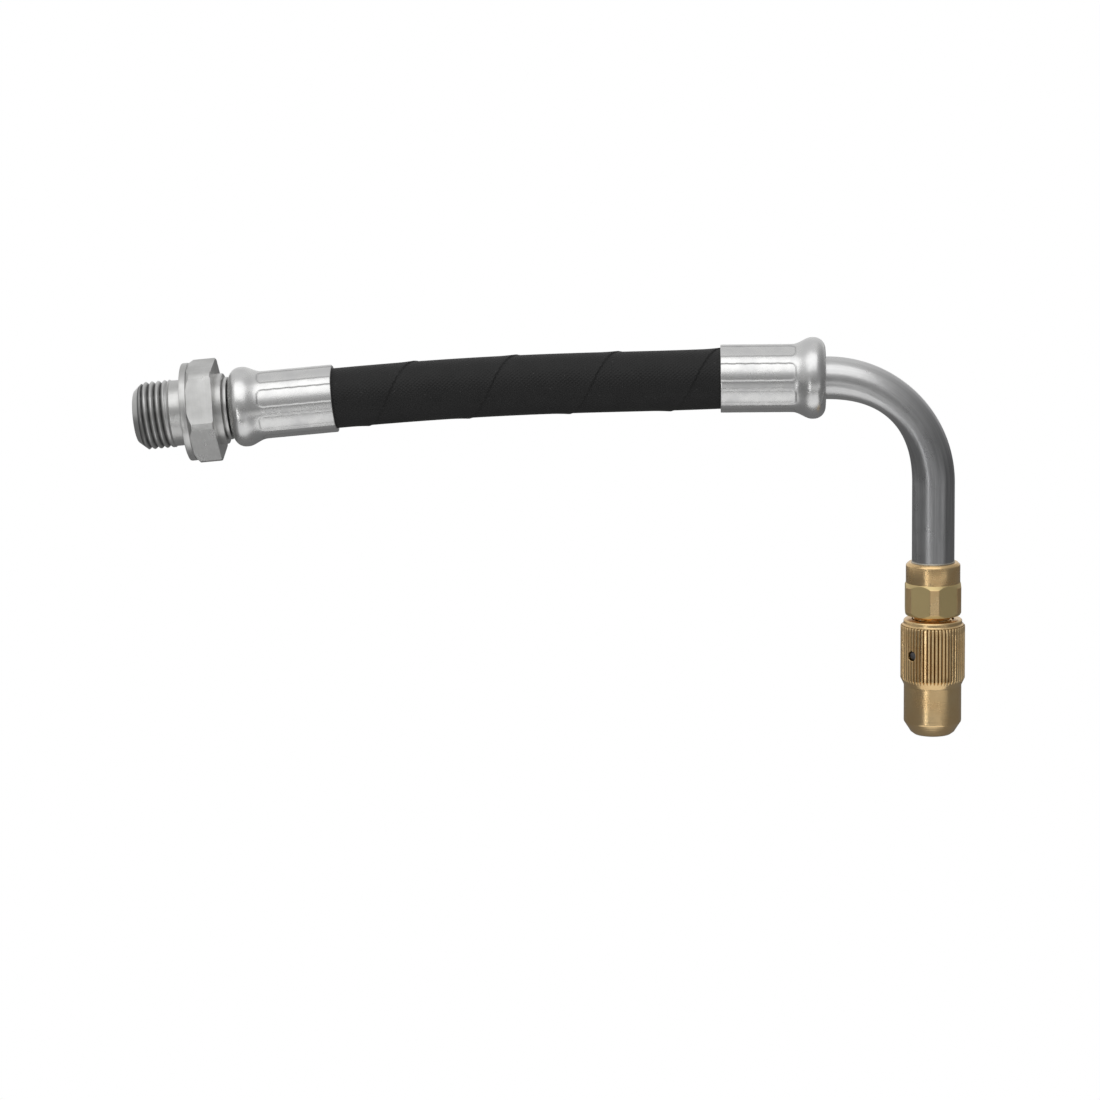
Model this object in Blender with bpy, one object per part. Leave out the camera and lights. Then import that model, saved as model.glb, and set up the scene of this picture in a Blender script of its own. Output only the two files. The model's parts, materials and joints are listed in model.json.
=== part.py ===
"""Flexible filler spout with a twist-open brass nozzle, for an oil dispensing gun.

A threaded steel connector and a bent steel tube are crimped to the two ends of a short
rubber hose. A brass nipple on the tube carries a knurled sleeve, which screws up against
a valve plug to close the spout and down to open it.

Units are metres, +Z is up. The origin is the centre of the connector's sealing face, with
+X along the inlet axis towards the hose. The spout points down, in the XZ plane.
"""

import math

import bmesh
import bpy
from mathutils import Matrix

# Gap left between two faces that touch on the real object
CLEARANCE = 0.0003
# Facets round a turned piece, and round a drilled hole or a pin
FACETS = 32
SMALL_FACETS = 16

# Hose: DN8 rubber hose with a textile braid
HOSE_DIAMETER = 0.0142
HOSE_BORE = 0.0080
HOSE_FREE_LENGTH = 0.0908
# The hose droops by this much between its two ferrules
HOSE_DROOP = math.radians(4.9)
# Flex joints that share the hose's bend, and how far each one turns either way
HOSE_JOINTS = 6
HOSE_JOINT_ANGLE = math.radians(15.0)
# Radial squeeze of the hose under a crimped ferrule
HOSE_SQUEEZE = 0.00045

# Crimped ferrules, measured from the closed end to the mouth that the hose comes out of
FERRULE_LENGTH = 0.0245
FERRULE_WALL = 0.0010
FERRULE_BULGE_WALL = 0.0012
FERRULE_END_ROUND = 0.0030
FERRULE_FLARE_LENGTH = 0.0026
FERRULE_INLET_GAP = 0.0003

# Barbed tails in the hose, with the collars that the ferrules lock onto
BARB_COUNT = 4
BARB_DEPTH = 0.0004
TAIL_WALL = 0.0006
TAIL_END_GAP = 0.0010
LOCK_COLLAR_LENGTH = 0.0020
LOCK_COLLAR_WALL = 0.0026
TAIL_SOCKET_WALL = 0.0011
TAIL_SOCKET_DEPTH = 0.0035

# Inlet connector: M16 x 1.5 stud, sealing collar, 22 mm hexagon and boss
THREAD_DIAMETER = 0.0160
THREAD_LENGTH = 0.0120
THREAD_LEAD_DEPTH = 0.0021
THREAD_RELIEF_DEPTH = 0.00025
THREAD_RELIEF_LENGTH = 0.0022
COLLAR_WIDTH = 0.0016
SEAL_FACE_WIDTH = 0.0038
INLET_HEX_ACROSS_FLATS = 0.0220
INLET_HEX_LAND = 0.0013
INLET_HEX_WIDTH = 0.0061
INLET_HEX_TURN = math.radians(19.5)
BOSS_DIAMETER = 0.0167
BOSS_WIDTH = 0.0017
NECK_GROOVE_DEPTH = 0.0018
NECK_GROOVE_WIDTH = 0.00025
NECK_RING_STEP = 0.00095
NECK_RING_WIDTH = 0.00085
NECK_WALL = 0.0021

# Bent steel tube
TUBE_DIAMETER = 0.0100
TUBE_WALL = 0.0010
BEND_RADIUS = 0.0250
BEND_ANGLE = math.radians(90.0)
BEND_STEPS = 10
BEND_START_GAP = 0.0003
LEG_LENGTH = 0.0189

# Brass nipple brazed on the tube, with the valve stem below its hexagon
NIPPLE_COLLAR_LENGTH = 0.0049
NIPPLE_COLLAR_WALL = 0.0011
NIPPLE_COLLAR_CHAMFER = 0.0006
NIPPLE_SOCKET_DEPTH = 0.0074
NIPPLE_HEX_LENGTH = 0.0076
NIPPLE_HEX_WALL = 0.0012
NIPPLE_HEX_LAND = 0.0005
NIPPLE_HEX_TURN = 0.0
STEM_BORE = 0.0046
STEM_GROOVE_WALL = 0.0010
STEM_END_WALL = 0.0012
STEM_LAND_STEP = 0.0007
STEM_THREAD_STEP = 0.0005
STEM_THREAD_LENGTH = 0.0062
STEM_LAND_LENGTH = 0.0050
STEM_CROSS_HOLE = 0.0024
STEM_END_LENGTH = 0.0051
BRAZE_SIZE = 0.0007

# Knurled sleeve, measured down from its upper rim
SLEEVE_RIM_GAP = 0.0011
SLEEVE_RIM_LENGTH = 0.0013
SLEEVE_RIM_STEP = 0.0007
SLEEVE_RIM_CHAMFER = 0.0003
KNURL_LENGTH = 0.0128
KNURL_WALL = 0.0013
KNURL_CHAMFER_LENGTH = 0.0017
SLEEVE_BODY_STEP = 0.0008
SLEEVE_BODY_LENGTH = 0.0089
NOSE_LENGTH = 0.0032
TIP_WALL = 0.00225
OUTLET_BORE = 0.0055
SEAT_LENGTH = 0.0026
# How far the sleeve moves down from closed to fully open
SLEEVE_TRAVEL = 0.0015

# Stop pin through the sleeve, its tip in the groove of the stem
PIN_DIAMETER = 0.0018
PIN_TURN = math.radians(44.4)
PIN_TIP_GAP = 0.0004
PIN_RECESS = 0.0005

# Rubber rings
SLEEVE_RING_SECTION = 0.0015
SEAL_SECTION = 0.0011

# Valve plug screwed into the end of the stem
PLUG_FLANGE_LENGTH = 0.0009
PLUG_STUD_LENGTH = 0.0018
PLUG_HEAD_STEP = 0.0010
PLUG_HEAD_LENGTH = 0.0021
PLUG_TIP_RADIUS = 0.0016

# Radii that follow from the sizes above
hose_radius = HOSE_DIAMETER / 2
hose_bore_radius = HOSE_BORE / 2
hose_squeezed_radius = hose_radius - HOSE_SQUEEZE
barb_radius = hose_bore_radius - CLEARANCE
tail_bore_radius = barb_radius - BARB_DEPTH - TAIL_WALL
tube_radius = TUBE_DIAMETER / 2
tube_hole_radius = tube_radius + CLEARANCE
tail_socket_radius = tube_hole_radius + TAIL_SOCKET_WALL
lock_collar_radius = tube_hole_radius + LOCK_COLLAR_WALL
ferrule_body_inner = max(hose_squeezed_radius, tail_socket_radius) + CLEARANCE
ferrule_body_outer = ferrule_body_inner + FERRULE_WALL
ferrule_bulge_inner = max(hose_squeezed_radius, lock_collar_radius) + CLEARANCE
ferrule_bulge_outer = ferrule_bulge_inner + FERRULE_BULGE_WALL
thread_radius = THREAD_DIAMETER / 2
relief_radius = thread_radius - THREAD_RELIEF_DEPTH
collar_radius = relief_radius + SEAL_FACE_WIDTH
inlet_land_radius = INLET_HEX_ACROSS_FLATS / 2 + INLET_HEX_LAND
boss_radius = BOSS_DIAMETER / 2
neck_radius = tail_bore_radius + NECK_WALL
nipple_collar_radius = tube_hole_radius + NIPPLE_COLLAR_WALL
nipple_flat_distance = tube_hole_radius + NIPPLE_HEX_WALL
nipple_land_radius = nipple_flat_distance + NIPPLE_HEX_LAND
stem_bore_radius = STEM_BORE / 2
stem_groove_radius = stem_bore_radius + STEM_GROOVE_WALL
stem_end_radius = stem_bore_radius + STEM_END_WALL
stem_land_radius = stem_end_radius + STEM_LAND_STEP
stem_thread_radius = stem_land_radius + STEM_THREAD_STEP
plug_stud_radius = stem_bore_radius - CLEARANCE
sleeve_thread_radius = stem_thread_radius + CLEARANCE
sleeve_bore_radius = stem_land_radius + CLEARANCE
ring_groove_radius = sleeve_bore_radius + SLEEVE_RING_SECTION + CLEARANCE
knurl_radius = ring_groove_radius + KNURL_WALL
rim_radius = knurl_radius - SLEEVE_RIM_STEP
sleeve_body_radius = knurl_radius - SLEEVE_BODY_STEP
outlet_radius = OUTLET_BORE / 2
tip_radius = outlet_radius + TIP_WALL

# Places along the inlet axis, from the sealing face
hex_start = COLLAR_WIDTH
hex_end = hex_start + INLET_HEX_WIDTH
boss_end = hex_end + BOSS_WIDTH
neck_ring_start = boss_end + NECK_GROOVE_WIDTH
neck_ring_end = neck_ring_start + NECK_RING_WIDTH
ferrule_start = neck_ring_end + FERRULE_INLET_GAP
hose_mouth = ferrule_start + FERRULE_LENGTH

# Places inside a ferrule, from its closed end
collar_start = FERRULE_END_ROUND
collar_end = collar_start + LOCK_COLLAR_LENGTH
socket_end = collar_start + TAIL_SOCKET_DEPTH + TAIL_SOCKET_WALL
ferrule_body_start = max(collar_end + FERRULE_FLARE_LENGTH, socket_end)
hose_end = socket_end + CLEARANCE
tail_end = FERRULE_LENGTH - TAIL_END_GAP

# Places down the nozzle axis, from the top face of the nipple
hex_bottom = NIPPLE_COLLAR_LENGTH + NIPPLE_HEX_LENGTH
sleeve_top = hex_bottom + SLEEVE_RIM_GAP
stem_thread_end = sleeve_top + STEM_THREAD_LENGTH
pin_place = stem_thread_end + 3 * CLEARANCE + PIN_DIAMETER / 2
stem_groove_end = pin_place + PIN_DIAMETER / 2 + SLEEVE_TRAVEL + 2 * CLEARANCE
ring_place = stem_groove_end + 2 * CLEARANCE + SLEEVE_RING_SECTION / 2
ring_bottom_when_open = ring_place + SLEEVE_RING_SECTION / 2 + SLEEVE_TRAVEL
stem_land_end = max(stem_groove_end + STEM_LAND_LENGTH, ring_bottom_when_open + CLEARANCE)
cross_hole_place = stem_land_end + CLEARANCE + STEM_CROSS_HOLE / 2
stem_end = max(stem_land_end + STEM_END_LENGTH, cross_hole_place + STEM_CROSS_HOLE)
plug_flange_start = stem_end + CLEARANCE
plug_stud_start = plug_flange_start - PLUG_STUD_LENGTH
plug_flange_end = plug_flange_start + PLUG_FLANGE_LENGTH
seal_place = plug_flange_end + CLEARANCE + SEAL_SECTION / 2
plug_head_start = seal_place + SEAL_SECTION / 2 + CLEARANCE
plug_end = plug_head_start + PLUG_HEAD_LENGTH
seat_start = seal_place - CLEARANCE
seat_end = seat_start + SEAT_LENGTH
knurl_start = sleeve_top + SLEEVE_RIM_LENGTH
knurl_end = knurl_start + KNURL_LENGTH
sleeve_body_start = knurl_end + KNURL_CHAMFER_LENGTH
nose_start = sleeve_body_start + SLEEVE_BODY_LENGTH
tip_place = nose_start + NOSE_LENGTH


def clear_scene():
    """Remove every object, so that the script can be run again in the same file."""
    for old in list(bpy.data.objects):
        bpy.data.objects.remove(old, do_unlink=True)


def make_material(name, color, roughness, metallic):
    """A plain Principled material in the finish of one of the real materials."""
    material = bpy.data.materials.new(name)
    material.use_nodes = True
    shader = material.node_tree.nodes["Principled BSDF"]
    shader.inputs["Base Color"].default_value = (*color, 1.0)
    shader.inputs["Roughness"].default_value = roughness
    shader.inputs["Metallic"].default_value = metallic
    material.diffuse_color = (*color, 1.0)
    return material


def add_piece(name, shape, material, parent, place):
    """Turn a finished bmesh into a named, smooth-shaded object under its parent frame."""
    mesh = bpy.data.meshes.new(name)
    bmesh.ops.recalc_face_normals(shape, faces=shape.faces)
    shape.to_mesh(mesh)
    shape.free()
    mesh.materials.append(material)
    mesh.shade_smooth()
    mesh.set_sharp_from_angle(angle=math.radians(30.0))
    piece = bpy.data.objects.new(name, mesh)
    bpy.context.collection.objects.link(piece)
    piece.parent = parent
    piece.matrix_local = place
    return piece


def add_frame(name, place, parent=None):
    """An empty that places a group of pieces, or marks a joint."""
    frame = bpy.data.objects.new(name, None)
    frame.empty_display_size = 0.01
    bpy.context.collection.objects.link(frame)
    frame.parent = parent
    frame.matrix_local = place
    return frame


def turn(outline, facets=FACETS):
    """Spin a (height, radius) outline about the Z axis.

    An outline that starts and ends on the axis gives a solid piece. Any other is closed
    on itself, and gives a ring with a bore.
    """
    on_axis = outline[0][1] == 0.0
    shape = bmesh.new()
    points = [shape.verts.new((radius, 0.0, height)) for height, radius in outline]
    followers = points[1:] if on_axis else points[1:] + points[:1]
    edges = [shape.edges.new(pair) for pair in zip(points, followers)]
    bmesh.ops.spin(
        shape,
        geom=points + edges,
        cent=(0, 0, 0),
        axis=(0, 0, 1),
        angle=math.tau,
        steps=facets,
        use_merge=True,
    )
    bmesh.ops.remove_doubles(shape, verts=shape.verts, dist=0.000001)
    return shape


def cut_with(piece, cutter):
    """Subtract a cutter from a piece, as a mill or a drill would."""
    cutter.hide_render = True
    cutter.display_type = "WIRE"
    cut = piece.modifiers.new(cutter.name, "BOOLEAN")
    cut.operation = "DIFFERENCE"
    cut.solver = "EXACT"
    cut.object = cutter


def mill_hexagon(piece, across_flats, start, end, angle):
    """Mill six flats on a turned blank between two heights on its Z axis.

    The cutter is a thick disc with a hexagonal hole, and the first flat faces the angle.
    """
    shape = bmesh.new()
    corner_radius = across_flats / 2 / math.cos(math.pi / 6)
    for radius in (corner_radius, 2 * corner_radius):
        bmesh.ops.create_circle(shape, segments=6, radius=radius)
    bmesh.ops.bridge_loops(shape, edges=shape.edges[:])
    walls = bmesh.ops.extrude_face_region(shape, geom=shape.faces[:])["geom"]
    raised = [item for item in walls if isinstance(item, bmesh.types.BMVert)]
    bmesh.ops.translate(shape, verts=raised, vec=(0, 0, end - start))
    place = (
        piece.matrix_basis
        @ Matrix.Translation((0, 0, start))
        @ Matrix.Rotation(angle, 4, "Z")
    )
    material = piece.data.materials[0]
    cutter = add_piece(piece.name + "_flats_cutter", shape, material, piece.parent, place)
    cut_with(piece, cutter)


def drill(piece, name, diameter, height, angle, start, end):
    """Drill a hole square to a piece's Z axis, from one distance off the axis to another."""
    shape = bmesh.new()
    bmesh.ops.create_cone(
        shape,
        cap_ends=True,
        segments=SMALL_FACETS,
        radius1=diameter / 2,
        radius2=diameter / 2,
        depth=end - start,
    )
    place = piece.matrix_basis @ radial_place(height, angle, (start + end) / 2)
    cutter = add_piece(name + "_cutter", shape, piece.data.materials[0], piece.parent, place)
    cut_with(piece, cutter)


def radial_place(height, angle, distance):
    """Lay a piece's Z axis along a radius, at a height, an angle and a distance out."""
    return (
        Matrix.Translation((0, 0, height))
        @ Matrix.Rotation(angle, 4, "Z")
        @ Matrix.Rotation(math.pi / 2, 4, "Y")
        @ Matrix.Translation((0, 0, distance))
    )


def along_x(distance):
    """Place a turned piece with its Z axis along its parent's X axis."""
    return Matrix.Translation((distance, 0, 0)) @ Matrix.Rotation(math.pi / 2, 4, "Y")


def against_x(distance):
    """Place a turned piece with its Z axis against its parent's X axis."""
    return Matrix.Translation((distance, 0, 0)) @ Matrix.Rotation(-math.pi / 2, 4, "Y")


def hose_place(length):
    """The hose's centreline at a distance from the inlet ferrule's mouth: an even droop."""
    angle = HOSE_DROOP * length / HOSE_FREE_LENGTH
    radius = HOSE_FREE_LENGTH / HOSE_DROOP
    point = (hose_mouth + radius * math.sin(angle), 0, -radius * (1 - math.cos(angle)))
    return Matrix.Translation(point) @ Matrix.Rotation(angle, 4, "Y")


def tail_outline(start):
    """Outside of a hose tail: locking collar, shoulder and barbs that point against pull."""
    outline = [
        (start + collar_start, lock_collar_radius),
        (start + collar_end, lock_collar_radius),
        (start + collar_end, tail_socket_radius),
        (start + socket_end, tail_socket_radius),
    ]
    barbs_start = start + socket_end
    pitch = (tail_end - socket_end) / BARB_COUNT
    for index in range(BARB_COUNT):
        outline.append((barbs_start + index * pitch, barb_radius - BARB_DEPTH))
        outline.append((barbs_start + (index + 0.3) * pitch, barb_radius))
    outline.append((start + tail_end, barb_radius - BARB_DEPTH))
    return outline


def make_connector(material, parent):
    """Threaded stud, sealing collar, hexagon, boss, neck and hose tail in one turned piece."""
    lead_radius = thread_radius - THREAD_LEAD_DEPTH
    hex_chamfer = (inlet_land_radius - collar_radius) * math.tan(math.pi / 6)
    outline = [
        (-THREAD_LENGTH, tail_bore_radius),
        (-THREAD_LENGTH, lead_radius),
        (-THREAD_LENGTH + THREAD_LEAD_DEPTH, thread_radius),
        (-THREAD_RELIEF_LENGTH, thread_radius),
        (-THREAD_RELIEF_LENGTH, relief_radius),
        (0.0, relief_radius),
        (0.0, collar_radius),
        (hex_start, collar_radius),
        (hex_start + abs(hex_chamfer), inlet_land_radius),
        (hex_end, inlet_land_radius),
        (hex_end, boss_radius),
        (boss_end, boss_radius),
        (boss_end, boss_radius - NECK_GROOVE_DEPTH),
        (neck_ring_start, boss_radius - NECK_GROOVE_DEPTH),
        (neck_ring_start, boss_radius - NECK_RING_STEP),
        (neck_ring_end, boss_radius - NECK_RING_STEP),
        (neck_ring_end, neck_radius),
        (ferrule_start + collar_start, neck_radius),
    ]
    outline += tail_outline(ferrule_start)
    outline.append((ferrule_start + tail_end, tail_bore_radius))
    connector = add_piece("inlet_connector", turn(outline), material, parent, along_x(0.0))
    mill_hexagon(
        connector,
        INLET_HEX_ACROSS_FLATS,
        hex_start,
        boss_end,
        -math.pi / 2 - INLET_HEX_TURN,
    )


def make_ferrule(name, hole_radius, material, parent, place):
    """Crimped sleeve: flanged round end, bulge over the locking collar, flare and body."""
    hole = hole_radius + CLEARANCE
    round_radius = min(FERRULE_END_ROUND, ferrule_bulge_outer - hole)
    arc_centre = ferrule_bulge_outer - round_radius
    arc = [math.radians(angle) for angle in (90, 60, 30, 0)]
    outer_round = [
        (round_radius * (1 - math.sin(angle)), arc_centre + round_radius * math.cos(angle))
        for angle in arc
    ]
    inner_radius = round_radius - FERRULE_BULGE_WALL
    inner_round = [
        (round_radius - inner_radius * math.sin(angle), arc_centre + inner_radius * math.cos(angle))
        for angle in reversed(arc)
    ]
    outline = [(0.0, hole)]
    outline += outer_round
    outline += [
        (collar_end, ferrule_bulge_outer),
        (ferrule_body_start, ferrule_body_outer),
        (FERRULE_LENGTH, ferrule_body_outer),
        (FERRULE_LENGTH, ferrule_body_inner),
        (ferrule_body_start, ferrule_body_inner),
        (collar_end, ferrule_bulge_inner),
    ]
    outline += inner_round
    outline.append((FERRULE_BULGE_WALL, hole))
    return add_piece(name, turn(outline), material, parent, place)


def make_hose_tail(material, parent, place):
    """Separate hose tail of the outlet: its socket holds the end of the bent tube."""
    outline = [(collar_start, tube_hole_radius)]
    outline += tail_outline(0.0)
    outline += [
        (tail_end, tail_bore_radius),
        (collar_start + TAIL_SOCKET_DEPTH, tail_bore_radius),
        (collar_start + TAIL_SOCKET_DEPTH, tube_hole_radius),
    ]
    return add_piece("outlet_hose_tail", turn(outline), material, parent, place)


def hose_face(place, side):
    """End face of a hose section at a flex joint: a cone that leaves room for the bend."""
    lean = math.tan((HOSE_JOINT_ANGLE + HOSE_DROOP / HOSE_JOINTS) / 2)
    return [
        (place + side * (CLEARANCE / 2 + radius * lean), radius)
        for radius in (hose_bore_radius, hose_radius)
    ]


def make_held_hose(name, free_length, material, parent, place):
    """End of the hose: squeezed in the ferrule, full size for a short way past its mouth."""
    mouth = FERRULE_LENGTH + CLEARANCE
    free_end = FERRULE_LENGTH + free_length
    outline = [
        (hose_end, hose_bore_radius),
        (hose_end, hose_squeezed_radius),
        (mouth, hose_squeezed_radius),
        (mouth, hose_radius),
    ]
    outline += reversed(hose_face(free_end, -1))
    return add_piece(name, turn(outline), material, parent, place)


def make_hose_section(name, length, material, parent, place):
    """Free section of the hose between two flex joints, centred on its frame."""
    outline = hose_face(-length / 2, 1)
    outline += reversed(hose_face(length / 2, -1))
    return add_piece(name, turn(outline), material, parent, place)


def make_hose(material, inlet, joint_spacing):
    """The hose as a chain: each section hangs on the joint at its inlet side."""
    make_held_hose("hose_inlet_end", joint_spacing / 2, material, inlet, along_x(ferrule_start))
    parent = inlet
    parent_place = Matrix.Identity(4)
    for index in range(HOSE_JOINTS):
        place = hose_place((index + 0.5) * joint_spacing)
        parent = add_frame(f"hose_joint_{index + 1}", parent_place.inverted() @ place, parent)
        parent_place = place
        if index < HOSE_JOINTS - 1:
            middle = hose_place((index + 1) * joint_spacing)
            make_hose_section(
                f"hose_section_{index + 1}",
                joint_spacing,
                material,
                parent,
                place.inverted() @ middle @ along_x(0.0),
            )
    mouth_place = hose_place(HOSE_FREE_LENGTH)
    outlet = add_frame("outlet_frame", parent_place.inverted() @ mouth_place, parent)
    outlet_end = against_x(FERRULE_LENGTH)
    make_held_hose("hose_outlet_end", joint_spacing / 2, material, outlet, outlet_end)
    return outlet


def extrude_end(shape, end_faces, offset):
    """Draw the end of a tube out by an offset, and return its new end faces."""
    drawn = bmesh.ops.extrude_face_region(shape, geom=end_faces)["geom"]
    moved = [item for item in drawn if isinstance(item, bmesh.types.BMVert)]
    bmesh.ops.translate(shape, verts=moved, vec=offset)
    return [item for item in drawn if isinstance(item, bmesh.types.BMFace)]


def make_elbow(material, parent):
    """Bent tube: straight end in the hose tail, a quarter bend and the leg down.

    Its frame is the middle of the ferrule's closed end, with X along the ferrule.
    """
    inner_end = -(collar_start + TAIL_SOCKET_DEPTH - CLEARANCE)
    shape = bmesh.new()
    bmesh.ops.create_circle(
        shape,
        cap_ends=True,
        segments=FACETS,
        radius=tube_radius,
        matrix=along_x(inner_end),
    )
    disc = shape.faces[:]
    bmesh.ops.inset_region(
        shape,
        faces=disc,
        thickness=TUBE_WALL,
        use_boundary=True,
        use_even_offset=True,
    )
    bmesh.ops.delete(shape, geom=disc, context="FACES")
    end_faces = extrude_end(shape, shape.faces[:], (BEND_START_GAP - inner_end, 0, 0))
    bend = bmesh.ops.spin(
        shape,
        geom=end_faces,
        cent=(BEND_START_GAP, 0, -BEND_RADIUS),
        axis=(0, 1, 0),
        angle=BEND_ANGLE,
        steps=BEND_STEPS,
    )["geom_last"]
    bend_end_faces = [item for item in bend if isinstance(item, bmesh.types.BMFace)]
    reach = LEG_LENGTH + NIPPLE_SOCKET_DEPTH - CLEARANCE
    extrude_end(
        shape,
        bend_end_faces,
        (math.cos(BEND_ANGLE) * reach, 0, -math.sin(BEND_ANGLE) * reach),
    )
    # The faces that each stretch was drawn from are left inside the wall
    bmesh.ops.delete(shape, geom=end_faces + bend_end_faces, context="FACES")
    return add_piece("elbow_tube", shape, material, parent, Matrix.Identity(4))


def make_braze_ring(name, start, end, material, parent, place):
    """Fillet of brazing metal round the tube, wide at its end height."""
    inner = tube_hole_radius
    outline = [(start, inner), (end, inner + BRAZE_SIZE), (end, inner)]
    return add_piece(name, turn(outline), material, parent, place)


def make_nipple(material, parent):
    """Brass nipple: tube socket, hexagon, and a hollow stem with thread, groove and land."""
    hex_chamfer = NIPPLE_HEX_LAND * math.tan(math.pi / 6)
    outline = [
        (0.0, tube_hole_radius),
        (0.0, nipple_collar_radius - NIPPLE_COLLAR_CHAMFER),
        (NIPPLE_COLLAR_CHAMFER, nipple_collar_radius),
        (NIPPLE_COLLAR_LENGTH, nipple_collar_radius),
        (NIPPLE_COLLAR_LENGTH, nipple_flat_distance),
        (NIPPLE_COLLAR_LENGTH + hex_chamfer, nipple_land_radius),
        (hex_bottom - hex_chamfer, nipple_land_radius),
        (hex_bottom, nipple_flat_distance),
        (hex_bottom, stem_thread_radius),
        (stem_thread_end, stem_thread_radius),
        (stem_thread_end, stem_groove_radius),
        (stem_groove_end, stem_groove_radius),
        (stem_groove_end, stem_land_radius),
        (stem_land_end, stem_land_radius),
        (stem_land_end, stem_end_radius),
        (stem_end, stem_end_radius),
        (stem_end, stem_bore_radius),
        (NIPPLE_SOCKET_DEPTH, stem_bore_radius),
        (NIPPLE_SOCKET_DEPTH, tube_hole_radius),
    ]
    nipple = add_piece("nozzle_nipple", turn(outline), material, parent, Matrix.Identity(4))
    mill_hexagon(
        nipple,
        2 * nipple_flat_distance,
        NIPPLE_COLLAR_LENGTH - CLEARANCE,
        hex_bottom + CLEARANCE,
        NIPPLE_HEX_TURN,
    )
    reach = 2 * stem_end_radius
    for index in range(2):
        name = f"cross_hole_{index + 1}"
        drill(nipple, name, STEM_CROSS_HOLE, cross_hole_place, index * math.pi / 2, -reach, reach)


def make_plug(material, parent):
    """Valve plug: stud in the stem, flange, core for the seal and a tapered head."""
    head_radius = plug_stud_radius + PLUG_HEAD_STEP
    outline = [
        (plug_stud_start, 0.0),
        (plug_stud_start, plug_stud_radius),
        (plug_flange_start, plug_stud_radius),
        (plug_flange_start, stem_end_radius),
        (plug_flange_end, stem_end_radius),
        (plug_flange_end, plug_stud_radius),
        (plug_head_start, plug_stud_radius),
        (plug_head_start, head_radius),
        (plug_end, PLUG_TIP_RADIUS),
        (plug_end, 0.0),
    ]
    return add_piece("valve_plug", turn(outline), material, parent, Matrix.Identity(4))


def make_rubber_ring(name, inner_radius, section, height, material, parent):
    """Ring of round rubber cord, as an eight-sided section."""
    outline = []
    for index in range(8):
        angle = (index + 0.5) * math.tau / 8
        middle = inner_radius + section / 2
        outline.append(
            (height + section / 2 * math.sin(angle), middle + section / 2 * math.cos(angle))
        )
    return add_piece(name, turn(outline), material, parent, Matrix.Identity(4))


def make_sleeve(material, parent):
    """Knurled sleeve: threaded and plain bores, ring groove, seat cone and outlet."""
    groove_half = SLEEVE_RING_SECTION / 2 + CLEARANCE
    outline = [
        (sleeve_top, sleeve_thread_radius),
        (sleeve_top, rim_radius - SLEEVE_RIM_CHAMFER),
        (sleeve_top + SLEEVE_RIM_CHAMFER, rim_radius),
        (knurl_start, rim_radius),
        (knurl_start, knurl_radius),
        (knurl_end, knurl_radius),
        (sleeve_body_start, sleeve_body_radius),
        (nose_start, sleeve_body_radius),
        (tip_place, tip_radius),
        (tip_place, outlet_radius),
        (seat_end, outlet_radius),
        (seat_start, sleeve_bore_radius),
        (ring_place + groove_half, sleeve_bore_radius),
        (ring_place + groove_half, ring_groove_radius),
        (ring_place - groove_half, ring_groove_radius),
        (ring_place - groove_half, sleeve_bore_radius),
        (stem_thread_end + CLEARANCE, sleeve_bore_radius),
        (stem_thread_end + CLEARANCE, sleeve_thread_radius),
    ]
    sleeve = add_piece("twist_sleeve", turn(outline), material, parent, Matrix.Identity(4))
    hole = PIN_DIAMETER + 2 * CLEARANCE
    drill(sleeve, "pin_hole", hole, pin_place, pin_angle, 0.0, 2 * knurl_radius)


def make_pin(material, parent):
    """Stop pin, pressed in from the side of the sleeve to just above the stem's groove."""
    inner_end = stem_groove_radius + PIN_TIP_GAP
    outer_end = knurl_radius - PIN_RECESS
    shape = bmesh.new()
    bmesh.ops.create_cone(
        shape,
        cap_ends=True,
        segments=SMALL_FACETS,
        radius1=PIN_DIAMETER / 2,
        radius2=PIN_DIAMETER / 2,
        depth=outer_end - inner_end,
    )
    place = radial_place(pin_place, pin_angle, (inner_end + outer_end) / 2)
    return add_piece("stop_pin", shape, material, parent, place)


# The nozzle frame has its Z axis down the spout, its X axis back towards the inlet and its
# Y axis towards the back. The pin is turned from the front, -Y, towards the inlet side
pin_angle = -math.pi / 2 + PIN_TURN

clear_scene()

zinc_steel = make_material("zinc_plated_steel", (0.62, 0.62, 0.60), 0.32, 1.0)
ferrule_steel = make_material("crimped_steel", (0.70, 0.70, 0.69), 0.22, 1.0)
tube_steel = make_material("bright_steel_tube", (0.64, 0.64, 0.63), 0.18, 1.0)
braze_metal = make_material("brazing_silver", (0.74, 0.70, 0.60), 0.30, 1.0)
pin_steel = make_material("pin_steel", (0.50, 0.50, 0.50), 0.35, 1.0)
brass = make_material("turned_brass", (0.60, 0.49, 0.30), 0.30, 1.0)
hose_rubber = make_material("hose_rubber", (0.012, 0.012, 0.013), 0.55, 0.0)
seal_rubber = make_material("seal_rubber", (0.015, 0.015, 0.015), 0.60, 0.0)

inlet_frame = add_frame("inlet_frame", Matrix.Identity(4))
make_connector(zinc_steel, inlet_frame)
make_ferrule("inlet_ferrule", neck_radius, ferrule_steel, inlet_frame, along_x(ferrule_start))

outlet_frame = make_hose(hose_rubber, inlet_frame, HOSE_FREE_LENGTH / HOSE_JOINTS)
outlet_end = against_x(FERRULE_LENGTH)
make_hose_tail(zinc_steel, outlet_frame, outlet_end)
make_ferrule("outlet_ferrule", tube_radius, ferrule_steel, outlet_frame, outlet_end)

tube_frame = add_frame("tube_frame", Matrix.Translation((FERRULE_LENGTH, 0, 0)), outlet_frame)
make_elbow(tube_steel, tube_frame)
braze_end = collar_start - CLEARANCE
make_braze_ring(
    "tail_braze_ring",
    braze_end - BRAZE_SIZE,
    braze_end,
    braze_metal,
    outlet_frame,
    outlet_end,
)

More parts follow.
